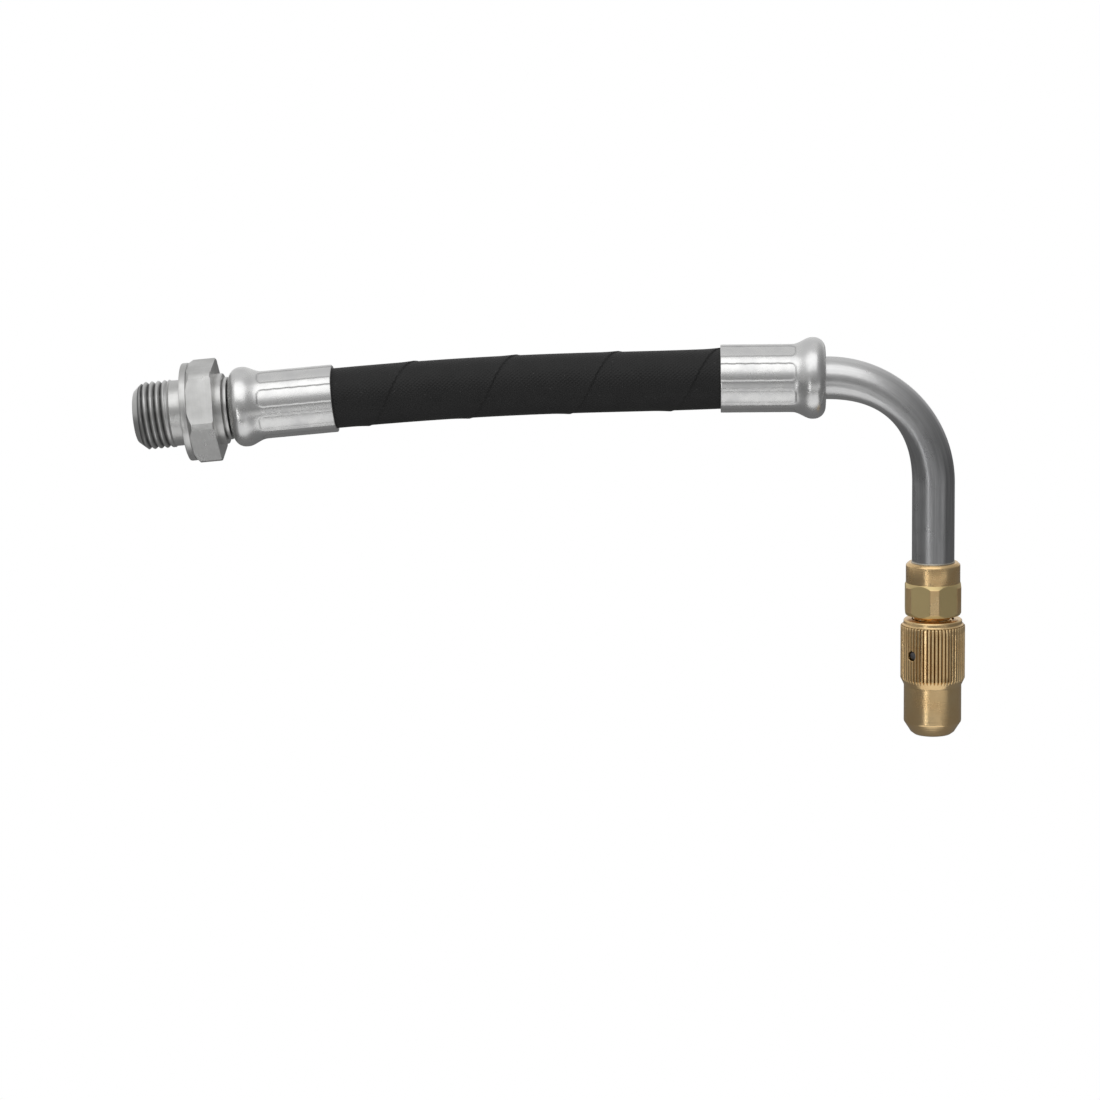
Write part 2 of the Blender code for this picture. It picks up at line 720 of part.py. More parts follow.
nozzle_place = (
    Matrix.Translation((BEND_START_GAP, 0, -BEND_RADIUS))
    @ Matrix.Rotation(BEND_ANGLE, 4, "Y")
    @ Matrix.Translation((LEG_LENGTH, 0, BEND_RADIUS))
    @ Matrix.Rotation(math.pi / 2, 4, "Y")
)
nozzle_frame = add_frame("nozzle_frame", nozzle_place, tube_frame)
make_braze_ring(
    "nipple_braze_ring",
    -CLEARANCE - BRAZE_SIZE,
    -CLEARANCE,
    braze_metal,
    nozzle_frame,
    Matrix.Identity(4),
)
make_nipple(brass, nozzle_frame)
make_plug(brass, nozzle_frame)
make_rubber_ring(
    "valve_seal",
    plug_stud_radius + CLEARANCE,
    SEAL_SECTION,
    seal_place,
    seal_rubber,
    nozzle_frame,
)

sleeve_frame = add_frame("sleeve_frame", Matrix.Identity(4), nozzle_frame)
make_rubber_ring(
    "sleeve_ring",
    sleeve_bore_radius,
    SLEEVE_RING_SECTION,
    ring_place,
    seal_rubber,
    sleeve_frame,
)
make_sleeve(brass, sleeve_frame)
make_pin(pin_steel, sleeve_frame)
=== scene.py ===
import json
import math

import bmesh
import bpy
from mathutils import Matrix, Vector


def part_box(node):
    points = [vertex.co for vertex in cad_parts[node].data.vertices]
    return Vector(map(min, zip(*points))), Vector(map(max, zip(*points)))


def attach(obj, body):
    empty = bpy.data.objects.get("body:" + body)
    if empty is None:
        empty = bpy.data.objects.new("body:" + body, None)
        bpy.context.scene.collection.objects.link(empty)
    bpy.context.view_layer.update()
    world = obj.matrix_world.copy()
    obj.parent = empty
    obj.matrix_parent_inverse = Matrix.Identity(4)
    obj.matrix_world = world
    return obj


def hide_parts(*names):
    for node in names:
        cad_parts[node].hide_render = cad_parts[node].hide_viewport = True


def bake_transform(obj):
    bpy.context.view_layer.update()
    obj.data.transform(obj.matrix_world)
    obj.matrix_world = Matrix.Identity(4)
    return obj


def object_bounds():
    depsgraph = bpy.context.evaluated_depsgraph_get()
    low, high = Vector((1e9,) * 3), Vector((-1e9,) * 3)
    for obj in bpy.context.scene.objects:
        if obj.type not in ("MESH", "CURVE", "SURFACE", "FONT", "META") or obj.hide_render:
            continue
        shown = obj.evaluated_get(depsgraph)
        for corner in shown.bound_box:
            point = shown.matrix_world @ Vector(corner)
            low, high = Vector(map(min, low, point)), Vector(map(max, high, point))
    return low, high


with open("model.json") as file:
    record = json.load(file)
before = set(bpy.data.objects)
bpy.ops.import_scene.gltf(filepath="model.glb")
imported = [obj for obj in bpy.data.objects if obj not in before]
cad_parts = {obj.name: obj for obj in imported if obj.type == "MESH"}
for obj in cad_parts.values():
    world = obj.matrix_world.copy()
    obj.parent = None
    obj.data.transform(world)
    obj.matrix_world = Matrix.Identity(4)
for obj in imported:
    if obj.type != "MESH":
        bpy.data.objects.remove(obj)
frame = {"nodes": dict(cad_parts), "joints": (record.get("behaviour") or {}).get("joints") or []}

cad_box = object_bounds()

# ---------------------------------------------------------------------------
# Camera, light and floor: a long lens a little above the spout, a large soft box
# over the front, fainter ones low in front and under it, a slim strip light to
# the left, and a pale table well below the spout, which hangs in the air.
# ---------------------------------------------------------------------------
bpy.context.scene.view_settings.view_transform = "Standard"

camera_back = Vector((0.05969, -0.98311, 0.17299)).normalized()
camera_up = Vector((0.09021, 0.1779, 0.9799))
camera_right = camera_up.cross(camera_back).normalized()
camera_up = camera_back.cross(camera_right)
camera_place = Matrix((camera_right, camera_up, camera_back)).transposed().to_4x4()
camera_place.translation = (0.13352, -0.84625, 0.10812)
lens = bpy.data.cameras.new("camera")
lens.sensor_width = 36.0
lens.lens = 119.05
lens.clip_end = 200.0
camera = bpy.data.objects.new("camera", lens)
bpy.context.scene.collection.objects.link(camera)
camera.matrix_world = camera_place
bpy.context.scene.camera = camera

studio_middle = (Vector(cad_box[0]) + Vector(cad_box[1])) / 2


def add_soft_box(name, azimuth, elevation, distance, width, height, radiance):
    """A rectangular light that faces the spout; its radiance is as bright as it looks."""
    light = bpy.data.lights.new(name, "AREA")
    light.shape = "RECTANGLE"
    light.size = width
    light.size_y = height
    light.energy = radiance * math.pi * width * height
    turn = Matrix.Rotation(math.radians(azimuth), 4, "Z")
    lift = Matrix.Rotation(math.radians(90.0 - elevation), 4, "X")
    box = bpy.data.objects.new(name, light)
    box.visible_camera = False
    bpy.context.scene.collection.objects.link(box)
    box.matrix_world = (
        Matrix.Translation(studio_middle) @ turn @ lift @ Matrix.Translation((0, 0, distance))
    )


add_soft_box("soft_box_over_front", -6.0, 57.0, 0.80, 1.10, 0.80, 0.68)
add_soft_box("soft_box_below", -4.0, -60.0, 0.70, 1.00, 0.60, 0.62)
add_soft_box("fill_low_front", 15.0, -18.0, 0.90, 1.60, 0.28, 0.42)
add_soft_box("strip_light_left", -27.0, -12.0, 0.95, 0.12, 0.50, 1.9)

world = bpy.data.worlds.new("studio")
bpy.context.scene.world = world
world.use_nodes = True
sky = world.node_tree
sky_background = sky.nodes["Background"]
sky_direction = sky.nodes.new("ShaderNodeTexCoord")
sky_axes = sky.nodes.new("ShaderNodeSeparateXYZ")
sky.links.new(sky_direction.outputs["Generated"], sky_axes.inputs[0])
sky_depth = sky.nodes.new("ShaderNodeMapRange")
sky_depth.inputs["From Min"].default_value = -1.0
sky.links.new(sky_axes.outputs["Y"], sky_depth.inputs["Value"])
sky_walls = sky.nodes.new("ShaderNodeValToRGB")
sky_walls.color_ramp.elements[0].color = (0.28, 0.28, 0.28, 1.0)
sky_walls.color_ramp.elements[1].color = (0.72, 0.72, 0.72, 1.0)
middle_stop = sky_walls.color_ramp.elements.new(0.40)
middle_stop.color = (0.44, 0.44, 0.44, 1.0)
sky.links.new(sky_depth.outputs[0], sky_walls.inputs[0])
sky_height = sky.nodes.new("ShaderNodeMapRange")
sky_height.inputs["From Min"].default_value = 0.2
sky_height.inputs["From Max"].default_value = 0.9
sky.links.new(sky_axes.outputs["Z"], sky_height.inputs["Value"])
sky_ceiling = sky.nodes.new("ShaderNodeMix")
sky_ceiling.data_type = "RGBA"
sky_ceiling.inputs["B"].default_value = (0.62, 0.62, 0.62, 1.0)
sky.links.new(sky_height.outputs[0], sky_ceiling.inputs["Factor"])
sky.links.new(sky_walls.outputs[0], sky_ceiling.inputs["A"])
sky_side = sky.nodes.new("ShaderNodeMapRange")
sky_side.inputs["From Min"].default_value = 0.3
sky_side.inputs["From Max"].default_value = 0.95
sky.links.new(sky_axes.outputs["X"], sky_side.inputs["Value"])
sky_dim = sky.nodes.new("ShaderNodeMix")
sky_dim.data_type = "RGBA"
sky_dim.inputs["B"].default_value = (0.22, 0.22, 0.22, 1.0)
sky.links.new(sky_side.outputs[0], sky_dim.inputs["Factor"])
sky.links.new(sky_ceiling.outputs["Result"], sky_dim.inputs["A"])
sky_rays = sky.nodes.new("ShaderNodeLightPath")
sky_seen = sky.nodes.new("ShaderNodeMix")
sky_seen.data_type = "RGBA"
sky_seen.inputs["B"].default_value = (1.0, 1.0, 1.0, 1.0)
sky.links.new(sky_rays.outputs["Is Camera Ray"], sky_seen.inputs["Factor"])
sky.links.new(sky_dim.outputs["Result"], sky_seen.inputs["A"])
sky.links.new(sky_seen.outputs["Result"], sky_background.inputs["Color"])

TABLE_DROP = 0.90

table_shape = bmesh.new()
bmesh.ops.create_circle(
    table_shape,
    cap_ends=True,
    segments=96,
    radius=60.0,
    matrix=Matrix.Translation((studio_middle.x, 0, cad_box[0][2] - TABLE_DROP)),
)
table_mesh = bpy.data.meshes.new("table")
table_shape.to_mesh(table_mesh)
table_shape.free()
table = bpy.data.objects.new("table", table_mesh)
bpy.context.scene.collection.objects.link(table)
table_paint = bpy.data.materials.new("pale_table")
table_paint.use_nodes = True
paper = table_paint.node_tree
paper.nodes.clear()
paper_place = paper.nodes.new("ShaderNodeTexCoord")
paper_centre = paper.nodes.new("ShaderNodeMapping")
paper_centre.inputs["Location"].default_value = (-studio_middle.x, 0, 0)
paper_distance = paper.nodes.new("ShaderNodeVectorMath")
paper_distance.operation = "LENGTH"
# Painted light: rays other than the camera's see a diffuse table that is pale within 0.3 m of
# the middle and darker out to 0.75 m, a painted pool of light. The camera sees plain white.
paper_ramp = paper.nodes.new("ShaderNodeMapRange")
paper_ramp.inputs["From Min"].default_value = 0.30
paper_ramp.inputs["From Max"].default_value = 0.75
paper_painted_light_pool = paper.nodes.new("ShaderNodeMix")
paper_painted_light_pool.data_type = "RGBA"
paper_painted_light_pool.inputs["A"].default_value = (0.90, 0.90, 0.90, 1.0)
paper_painted_light_pool.inputs["B"].default_value = (0.30, 0.30, 0.30, 1.0)
paper_diffuse = paper.nodes.new("ShaderNodeBsdfDiffuse")
paper_glow = paper.nodes.new("ShaderNodeEmission")
paper_rays = paper.nodes.new("ShaderNodeLightPath")
paper_mix = paper.nodes.new("ShaderNodeMixShader")
paper_output = paper.nodes.new("ShaderNodeOutputMaterial")
paper.links.new(paper_place.outputs["Object"], paper_centre.inputs["Vector"])
paper.links.new(paper_centre.outputs[0], paper_distance.inputs[0])
paper.links.new(paper_distance.outputs["Value"], paper_ramp.inputs["Value"])
paper.links.new(paper_ramp.outputs[0], paper_painted_light_pool.inputs["Factor"])
paper.links.new(paper_painted_light_pool.outputs["Result"], paper_diffuse.inputs["Color"])
paper.links.new(paper_rays.outputs["Is Camera Ray"], paper_mix.inputs[0])
paper.links.new(paper_diffuse.outputs[0], paper_mix.inputs[1])
paper.links.new(paper_glow.outputs[0], paper_mix.inputs[2])
paper.links.new(paper_mix.outputs[0], paper_output.inputs[0])
table_mesh.materials.append(table_paint)

# ---------------------------------------------------------------------------
# Inlet connector: one turned and zinc plated steel piece. An M16 x 1.5 stud
# with a lead chamfer and a plain relief, a sealing collar, a 22 mm hexagon, a
# boss, a groove and a slim ring. The rest of it goes into the hose.
# ---------------------------------------------------------------------------
THREAD_RADIUS = 0.0080
THREAD_PITCH = 0.0015
THREAD_DEPTH = 0.00075
THREAD_LENGTH = 0.0120
THREAD_END = -0.0033
THREAD_RUNOUT = 0.0008
LEAD_RADIUS = 0.0060
LEAD_SLOPE = 0.85
RELIEF_RADIUS = 0.00775
COLLAR_RADIUS = 0.01155
HEX_START = 0.0016
HEX_END = 0.0077
HEX_FLAT = 0.0110
HEX_LAND = 0.0123
HEX_TURN = math.radians(19.5)
BOSS_RADIUS = 0.00835
BOSS_END = 0.0094
NECK_GROOVE_END = 0.00965
NECK_RING_END = 0.0105
NECK_RING_RADIUS = 0.0074
NECK_RADIUS = 0.0048
TAIL_BORE = 0.0027


def eased(outline, ease):
    """Round every corner of a closed (height, radius) outline by a small amount."""
    rounded = []
    for index, corner in enumerate(outline):
        corner = Vector(corner)
        before = Vector(outline[index - 1]) - corner
        after = Vector(outline[(index + 1) % len(outline)]) - corner
        if before.length < 1e-7 or after.length < 1e-7 or before.angle(after) > 2.95:
            rounded.append(corner)
            continue
        first = corner + before * min(ease / before.length, 0.4)
        last = corner + after * min(ease / after.length, 0.4)
        rounded += [first, (first + 2 * corner + last) / 4, last]
    return [tuple(point) for point in rounded]


def lathe(outline, facets, shape=None):
    """Turn a closed (height, radius) outline about Z, as a ring with a bore."""
    shape = shape or bmesh.new()
    points = [shape.verts.new((radius, 0.0, height)) for height, radius in outline]
    edges = [shape.edges.new(pair) for pair in zip(points, points[1:] + points[:1])]
    bmesh.ops.spin(
        shape,
        geom=points + edges,
        cent=(0, 0, 0),
        axis=(0, 0, 1),
        angle=math.tau,
        steps=facets,
        use_merge=True,
    )
    return shape


def stepped(start, end, step):
    """Heights from start to end, both included, no further apart than a step."""
    count = max(1, math.ceil(abs(end - start) / step - 1e-6))
    return [start + (end - start) * index / count for index in range(count + 1)]


def mill_flats(shape, flat_distance, first_angle):
    """Cut six flats on a turned disc and close each cut with one face."""
    for index in range(6):
        angle = first_angle + index * math.tau / 6
        outward = Vector((math.cos(angle), math.sin(angle), 0))
        cut = bmesh.ops.bisect_plane(
            shape,
            geom=shape.verts[:] + shape.edges[:] + shape.faces[:],
            dist=1e-7,
            plane_co=outward * flat_distance,
            plane_no=outward,
            clear_outer=True,
        )["geom_cut"]
        rim = [item for item in cut if isinstance(item, bmesh.types.BMEdge)]
        bmesh.ops.holes_fill(shape, edges=rim, sides=0)


def place_piece(name, shape, place, material, crease=60.0):
    """Make the mesh and its object from a finished bmesh, with its place in the mesh."""
    bmesh.ops.remove_doubles(shape, verts=shape.verts[:], dist=1e-7)
    shape.transform(place)
    bmesh.ops.recalc_face_normals(shape, faces=shape.faces[:])
    mesh = bpy.data.meshes.new(name)
    shape.to_mesh(mesh)
    shape.free()
    mesh.shade_smooth()
    mesh.set_sharp_from_angle(angle=math.radians(crease))
    mesh.materials.append(material)
    piece = bpy.data.objects.new(name, mesh)
    bpy.context.scene.collection.objects.link(piece)
    return piece


def join_nodes(tree, kind, inputs=None, **settings):
    """Add a node, set it, and feed its sockets from numbers, colours or other sockets."""
    added = tree.nodes.new(kind)
    for name, value in settings.items():
        setattr(added, name, value)
    for name, value in (inputs or {}).items():
        socket = added.inputs[name]
        if isinstance(value, bpy.types.NodeSocket):
            tree.links.new(value, socket)
        else:
            socket.default_value = value
    return added


def start_group(name, inputs, outputs):
    """A node group with named float or vector inputs and float outputs."""
    group = bpy.data.node_groups.new(name, "ShaderNodeTree")
    for label, kind, value in inputs:
        socket = group.interface.new_socket(label, in_out="INPUT", socket_type=kind)
        if value is not None:
            socket.default_value = value
    for label in outputs:
        group.interface.new_socket(label, in_out="OUTPUT", socket_type="NodeSocketFloat")
    return group, group.nodes.new("NodeGroupInput"), group.nodes.new("NodeGroupOutput")


# Patches are slow changes of tone, Grain is a fine skin, Specks are small pits or dust
metal_skin, skin_in, skin_out = start_group(
    "metal_skin",
    [
        ("Vector", "NodeSocketVector", None),
        ("Patch Scale", "NodeSocketFloat", 120.0),
        ("Grain Scale", "NodeSocketFloat", 4000.0),
        ("Speck Scale", "NodeSocketFloat", 1500.0),
    ],
    ("Patches", "Grain", "Specks"),
)
skin_patches = join_nodes(
    metal_skin,
    "ShaderNodeTexNoise",
    {
        "Vector": skin_in.outputs["Vector"],
        "Scale": skin_in.outputs["Patch Scale"],
        "Detail": 4.0,
        "Roughness": 0.6,
    },
)
skin_spread = join_nodes(
    metal_skin,
    "ShaderNodeMapRange",
    {"Value": skin_patches.outputs["Fac"], "From Min": 0.32, "From Max": 0.68},
)
skin_grain = join_nodes(
    metal_skin,
    "ShaderNodeTexNoise",
    {
        "Vector": skin_in.outputs["Vector"],
        "Scale": skin_in.outputs["Grain Scale"],
        "Detail": 3.0,
        "Roughness": 0.65,
    },
)
skin_cells = join_nodes(
    metal_skin,
    "ShaderNodeTexVoronoi",
    {"Vector": skin_in.outputs["Vector"], "Scale": skin_in.outputs["Speck Scale"]},
)
skin_specks = join_nodes(
    metal_skin,
    "ShaderNodeMapRange",
    {
        "Value": skin_cells.outputs["Distance"],
        "From Min": 0.10,
        "From Max": 0.04,
    },
)
metal_skin.links.new(skin_spread.outputs[0], skin_out.inputs["Patches"])
metal_skin.links.new(skin_grain.outputs["Fac"], skin_out.inputs["Grain"])
metal_skin.links.new(skin_specks.outputs[0], skin_out.inputs["Specks"])

# Rings left by the turning tool, about the Z axis of the vector they are given
tool_marks, marks_in, marks_out = start_group(
    "tool_marks",
    [("Vector", "NodeSocketVector", None), ("Pitch Scale", "NodeSocketFloat", 3000.0)],
    ("Rings",),
)
marks_squash = join_nodes(
    tool_marks,
    "ShaderNodeVectorMath",
    {0: marks_in.outputs["Vector"], 1: (0.02, 0.02, 1.0)},
    operation="MULTIPLY",
)
marks_noise = join_nodes(
    tool_marks,
    "ShaderNodeTexNoise",
    {
        "Vector": marks_squash.outputs[0],
        "Scale": marks_in.outputs["Pitch Scale"],
        "Detail": 3.0,
        "Roughness": 0.7,
    },
)
tool_marks.links.new(marks_noise.outputs["Fac"], marks_out.inputs["Rings"])


def start_finish(name, metallic, specular=0.5):
    """A new material: its tree, its Principled shader and its object coordinates."""
    material = bpy.data.materials.new(name)
    material.use_nodes = True
    tree = material.node_tree
    shader = tree.nodes["Principled BSDF"]
    shader.inputs["Metallic"].default_value = metallic
    shader.inputs["Specular IOR Level"].default_value = specular
    place = tree.nodes.new("ShaderNodeTexCoord")
    return material, tree, shader, place


def use_group(tree, group, inputs):
    """Place a node group in a material and feed its inputs."""
    added = tree.nodes.new("ShaderNodeGroup")
    added.node_tree = group
    for name, value in inputs.items():
        if isinstance(value, bpy.types.NodeSocket):
            tree.links.new(value, added.inputs[name])
        else:
            added.inputs[name].default_value = value
    return added


def make_turned_metal(name, turn, dark, light, rough, marks, grain, mark_scale=2600.0):
    """Turned metal: tone patches, tool rings about an axis and a fine skin."""
    material, tree, shader, place = start_finish(name, 1.0)
    lined = join_nodes(
        tree, "ShaderNodeMapping", {"Vector": place.outputs["Object"], "Rotation": turn}
    )
    skin = use_group(tree, metal_skin, {"Vector": lined.outputs[0], "Grain Scale": 5200.0})
    rings = use_group(
        tree, tool_marks, {"Vector": lined.outputs[0], "Pitch Scale": mark_scale}
    )
    tone = join_nodes(
        tree,
        "ShaderNodeMath",
        {0: rings.outputs["Rings"], 1: 0.45, 2: -0.22},
        operation="MULTIPLY_ADD",
    )
    tone = join_nodes(
        tree, "ShaderNodeMath", {0: skin.outputs["Patches"], 1: tone.outputs[0]}, operation="ADD"
    )
    color = join_nodes(
        tree,
        "ShaderNodeMix",
        {"Factor": tone.outputs[0], "A": (*dark, 1.0), "B": (*light, 1.0)},
        data_type="RGBA",
    )
    gloss = join_nodes(
        tree,
        "ShaderNodeMapRange",
        {"Value": tone.outputs[0], "To Min": rough[1], "To Max": rough[0]},
    )
    relief = join_nodes(
        tree,
        "ShaderNodeMath",
        {0: rings.outputs["Rings"], 1: marks, 2: skin.outputs["Grain"]},
        operation="MULTIPLY_ADD",
    )
    bump = join_nodes(
        tree,
        "ShaderNodeBump",
        {"Height": relief.outputs[0], "Strength": grain, "Distance": 0.00004},
    )
    tree.links.new(color.outputs["Result"], shader.inputs["Base Color"])
    tree.links.new(gloss.outputs[0], shader.inputs["Roughness"])
    tree.links.new(bump.outputs[0], shader.inputs["Normal"])
    return material


along_inlet = Matrix.Rotation(math.pi / 2, 4, "Y")
zinc_steel = make_turned_metal(
    "zinc_plated_steel",
    (0.0, -math.pi / 2, 0.0),
    (0.58, 0.58, 0.57),
    (0.76, 0.76, 0.75),
    (0.26, 0.40),
    0.8,
    0.55,
)


def mask_near_axis(material, inverse, full, none, low, high):
    """1 where the skin is nearer to an axis than a radius, between two heights on it."""
    tree = material.node_tree
    place = join_nodes(tree, "ShaderNodeTexCoord")
    lined = join_nodes(
        tree,
        "ShaderNodeMapping",
        {
            "Vector": place.outputs["Object"],
            "Location": inverse.translation,
            "Rotation": inverse.to_euler(),
        },
    )
    height = join_nodes(tree, "ShaderNodeSeparateXYZ", {"Vector": lined.outputs[0]}).outputs["Z"]
    across = join_nodes(
        tree, "ShaderNodeVectorMath", {0: lined.outputs[0], 1: (1, 1, 0)}, operation="MULTIPLY"
    )
    radius = join_nodes(
        tree, "ShaderNodeVectorMath", {0: across.outputs[0]}, operation="LENGTH"
    )
    mask = join_nodes(
        tree,
        "ShaderNodeMapRange",
        {"Value": radius.outputs["Value"], "From Min": none, "From Max": full},
    )
    for limit, side in ((low, "GREATER_THAN"), (high, "LESS_THAN")):
        beyond = join_nodes(tree, "ShaderNodeMath", {0: height, 1: limit}, operation=side)
        mask = join_nodes(
            tree,
            "ShaderNodeMath",
            {0: mask.outputs[0], 1: beyond.outputs[0]},
            operation="MULTIPLY",
        )
    return mask.outputs[0]


def shade_where(material, mask, shade, roughness):
    """Give a finished material another colour and roughness where a mask is 1."""
    tree = material.node_tree
    for name, value, kind in (
        ("Base Color", (*shade, 1.0), "RGBA"),
        ("Roughness", roughness, "FLOAT"),
    ):
        socket = tree.nodes["Principled BSDF"].inputs[name]
        mixed = join_nodes(
            tree,
            "ShaderNodeMix",
            {"Factor": mask, "A": socket.links[0].from_socket, "B": value},
            data_type=kind,
        )
        tree.links.new(mixed.outputs["Result"], socket)


# Painted shade: the stud's thread roots get a dark grey colour and a higher roughness, standing
# in for the shade in the grooves.
painted_root_shade = mask_near_axis(
    zinc_steel, along_inlet.inverted(), 0.0074, 0.0079, 0.0014 - THREAD_LENGTH, THREAD_END
)
shade_where(zinc_steel, painted_root_shade, (0.20, 0.20, 0.20), 0.5)


def cut_thread(shape):
    """Move the stud's skin in and out so that the crest winds round it as a helix."""
    for vert in shape.verts:
        radius = math.hypot(vert.co.x, vert.co.y)
        if vert.co.z > THREAD_END + 1e-6 or radius < LEAD_RADIUS - 0.0002:
            continue
        around = math.atan2(vert.co.y, vert.co.x) / math.tau
        phase = (vert.co.z / THREAD_PITCH - around) % 1.0
        # A rounded crest, two flanks and a sharp root
        groove = THREAD_DEPTH * (abs(phase - 0.5) * 2.0) ** 1.5
        groove *= min(1.0, (THREAD_END - vert.co.z) / THREAD_RUNOUT)
        lead = LEAD_RADIUS + (vert.co.z + THREAD_LENGTH) * LEAD_SLOPE
        wanted = min(THREAD_RADIUS - groove, lead, radius)
        vert.co.x *= wanted / radius
        vert.co.y *= wanted / radius


stud_outline = [(-THREAD_LENGTH, TAIL_BORE), (-THREAD_LENGTH, LEAD_RADIUS - 0.0003)]
stud_outline += [(-THREAD_LENGTH + 0.0001, LEAD_RADIUS)]
stud_outline += [
    (height, THREAD_RADIUS)
    for height in stepped(-THREAD_LENGTH + 0.0002, THREAD_END, 0.0001)
]
stud_outline += eased(
    [
        (THREAD_END + 0.0001, RELIEF_RADIUS),
        (0.0, RELIEF_RADIUS),
        (0.0, COLLAR_RADIUS),
        (HEX_START, COLLAR_RADIUS),
        (HEX_START, BOSS_RADIUS - 0.0005),
        (HEX_END - 0.0003, BOSS_RADIUS - 0.0005),
        (HEX_END - 0.0003, BOSS_RADIUS),
        (BOSS_END, BOSS_RADIUS),
        (BOSS_END, BOSS_RADIUS - 0.0018),
        (NECK_GROOVE_END, BOSS_RADIUS - 0.0018),
        (NECK_GROOVE_END, NECK_RING_RADIUS),
        (NECK_RING_END, NECK_RING_RADIUS),
        (NECK_RING_END, NECK_RADIUS),
        (0.0130, NECK_RADIUS),
        (0.0130, TAIL_BORE),
    ],
    0.00028,
)
stud = lathe(stud_outline, 144)
cut_thread(stud)
connector = place_piece("connector_body", stud, along_inlet, zinc_steel, 50.0)

hexagon = lathe(
    [
        (HEX_START, 0.0070),
        (HEX_START, 0.01135),
        (HEX_START + 0.0009, HEX_LAND),
        (HEX_END - 0.0002, HEX_LAND),
        (HEX_END, HEX_LAND - 0.0002),
        (HEX_END, 0.0070),
    ],
    144,
)
mill_flats(hexagon, HEX_FLAT, -math.pi / 2 - HEX_TURN)
connector_hexagon = place_piece(
    "connector_hexagon", hexagon, along_inlet, zinc_steel, 12.0
)
for piece in (connector, connector_hexagon):
    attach(piece, "inlet")
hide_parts("inlet_connector")
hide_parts("inlet_connector")

# ---------------------------------------------------------------------------
# Ferrules: bright zinc plated steel sleeves, drawn with a bulged round end and
# crimped on the hose by eight dies. Each die leaves a shallow imprint with
# rounded corners, and a narrow ridge stands between two imprints.
# ---------------------------------------------------------------------------
FERRULE_LENGTH = 0.0245
FERRULE_BULGE = 0.0094
FERRULE_BODY = 0.0080
FERRULE_WALL = 0.0010
BULGE_END = 0.0050
FLARE_END = 0.0076
IMPRINT_DEPTH = 0.00015
IMPRINT_CORNER = 0.0012
IMPRINT_EDGE = 0.00022
RIDGE_WIDTH = 0.0021
RIDGE_ANGLE = math.radians(41.0)

ferrule_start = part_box("inlet_ferrule")[0].x
hose_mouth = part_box("inlet_ferrule")[1].x


def make_ferrule_steel(name):
    """Bright plating with faint smudges and fine pits, and painted shade as dark lines along the
    die imprints' edges.
    """
    material, tree, shader, place = start_finish(name, 1.0)
    skin = use_group(
        tree,
        metal_skin,
        {
            "Vector": place.outputs["Object"],
            "Patch Scale": 210.0,
            "Grain Scale": 3800.0,
            "Speck Scale": 1300.0,
        },
    )
    color = join_nodes(
        tree,
        "ShaderNodeMix",
        {
            "Factor": skin.outputs["Patches"],
            "A": (0.74, 0.74, 0.74, 1.0),
            "B": (0.86, 0.86, 0.85, 1.0),
        },
        data_type="RGBA",
    )
    # Painted shade: near black where the die_edge mark is high, broken up by the grain, along
    # the edges of the imprints.
    die_edge = join_nodes(tree, "ShaderNodeAttribute", attribute_name="die_edge")
    painted_die_edge_shade = join_nodes(
        tree,
        "ShaderNodeMath",
        {0: die_edge.outputs["Fac"], 1: skin.outputs["Grain"]},
        operation="MULTIPLY",
    )
    color = join_nodes(
        tree,
        "ShaderNodeMix",
        {
            "Factor": painted_die_edge_shade.outputs[0],
            "A": color.outputs["Result"],
            "B": (0.10, 0.10, 0.10, 1.0),
        },
        data_type="RGBA",
    )
    gloss = join_nodes(
        tree,
        "ShaderNodeMapRange",
        {"Value": skin.outputs["Patches"], "To Min": 0.33, "To Max": 0.23},
    )
    gloss = join_nodes(
        tree,
        "ShaderNodeMath",
        {0: skin.outputs["Specks"], 1: 0.25, 2: gloss.outputs[0]},
        operation="MULTIPLY_ADD",
    )
    bump = join_nodes(
        tree,
        "ShaderNodeBump",
        {"Height": skin.outputs["Grain"], "Strength": 0.35, "Distance": 0.00004},
    )
    tree.links.new(color.outputs["Result"], shader.inputs["Base Color"])
    tree.links.new(gloss.outputs[0], shader.inputs["Roughness"])
    tree.links.new(bump.outputs[0], shader.inputs["Normal"])
    return material


ferrule_steel = make_ferrule_steel("crimped_steel")


def press_dies(shape, first_ridge):
    """Press eight imprints into the body, and leave a ridge between each two."""
    edge_mark = shape.verts.layers.float.new("die_edge")
    for vert in shape.verts:
        radius = math.hypot(vert.co.x, vert.co.y)
        height = vert.co.z
        if radius < FERRULE_BODY - 0.0006 or height < BULGE_END + 0.001:
            continue
        angle = math.atan2(vert.co.y, vert.co.x) - first_ridge
        place = (angle / (math.tau / 8) + 0.5) % 1.0 - 0.5
        from_ridge = abs(place) * math.tau / 8 * FERRULE_BODY - RIDGE_WIDTH / 2
        from_ridge -= 0.00004 * math.sin(height * 2100 + 5 * round(angle / (math.tau / 8)))
        from_ridge -= 0.00002 * math.sin(height * 5300 + 2)
        from_end = height - (FLARE_END - 0.0005)
        # Rounded corners where an imprint ends at the flare
        inside = min(from_ridge, from_end)
        if max(from_ridge, from_end) < IMPRINT_CORNER:
            inside = IMPRINT_CORNER - math.hypot(
                IMPRINT_CORNER - from_ridge, IMPRINT_CORNER - from_end
            )
        depth = IMPRINT_DEPTH * min(1.0, max(0.0, inside / IMPRINT_EDGE + 0.2))
        pinched = 0.00005 * max(0.0, 1.0 - abs(inside) / 0.00018)
        # The die_edge mark is 1 along an imprint's edge, where the ferrule's finish paints
        # shade.
        vert[edge_mark] = max(0.0, 1.0 - abs(inside) / IMPRINT_EDGE)
        wanted = radius - depth - pinched
        vert.co.x *= wanted / radius
        vert.co.y *= wanted / radius


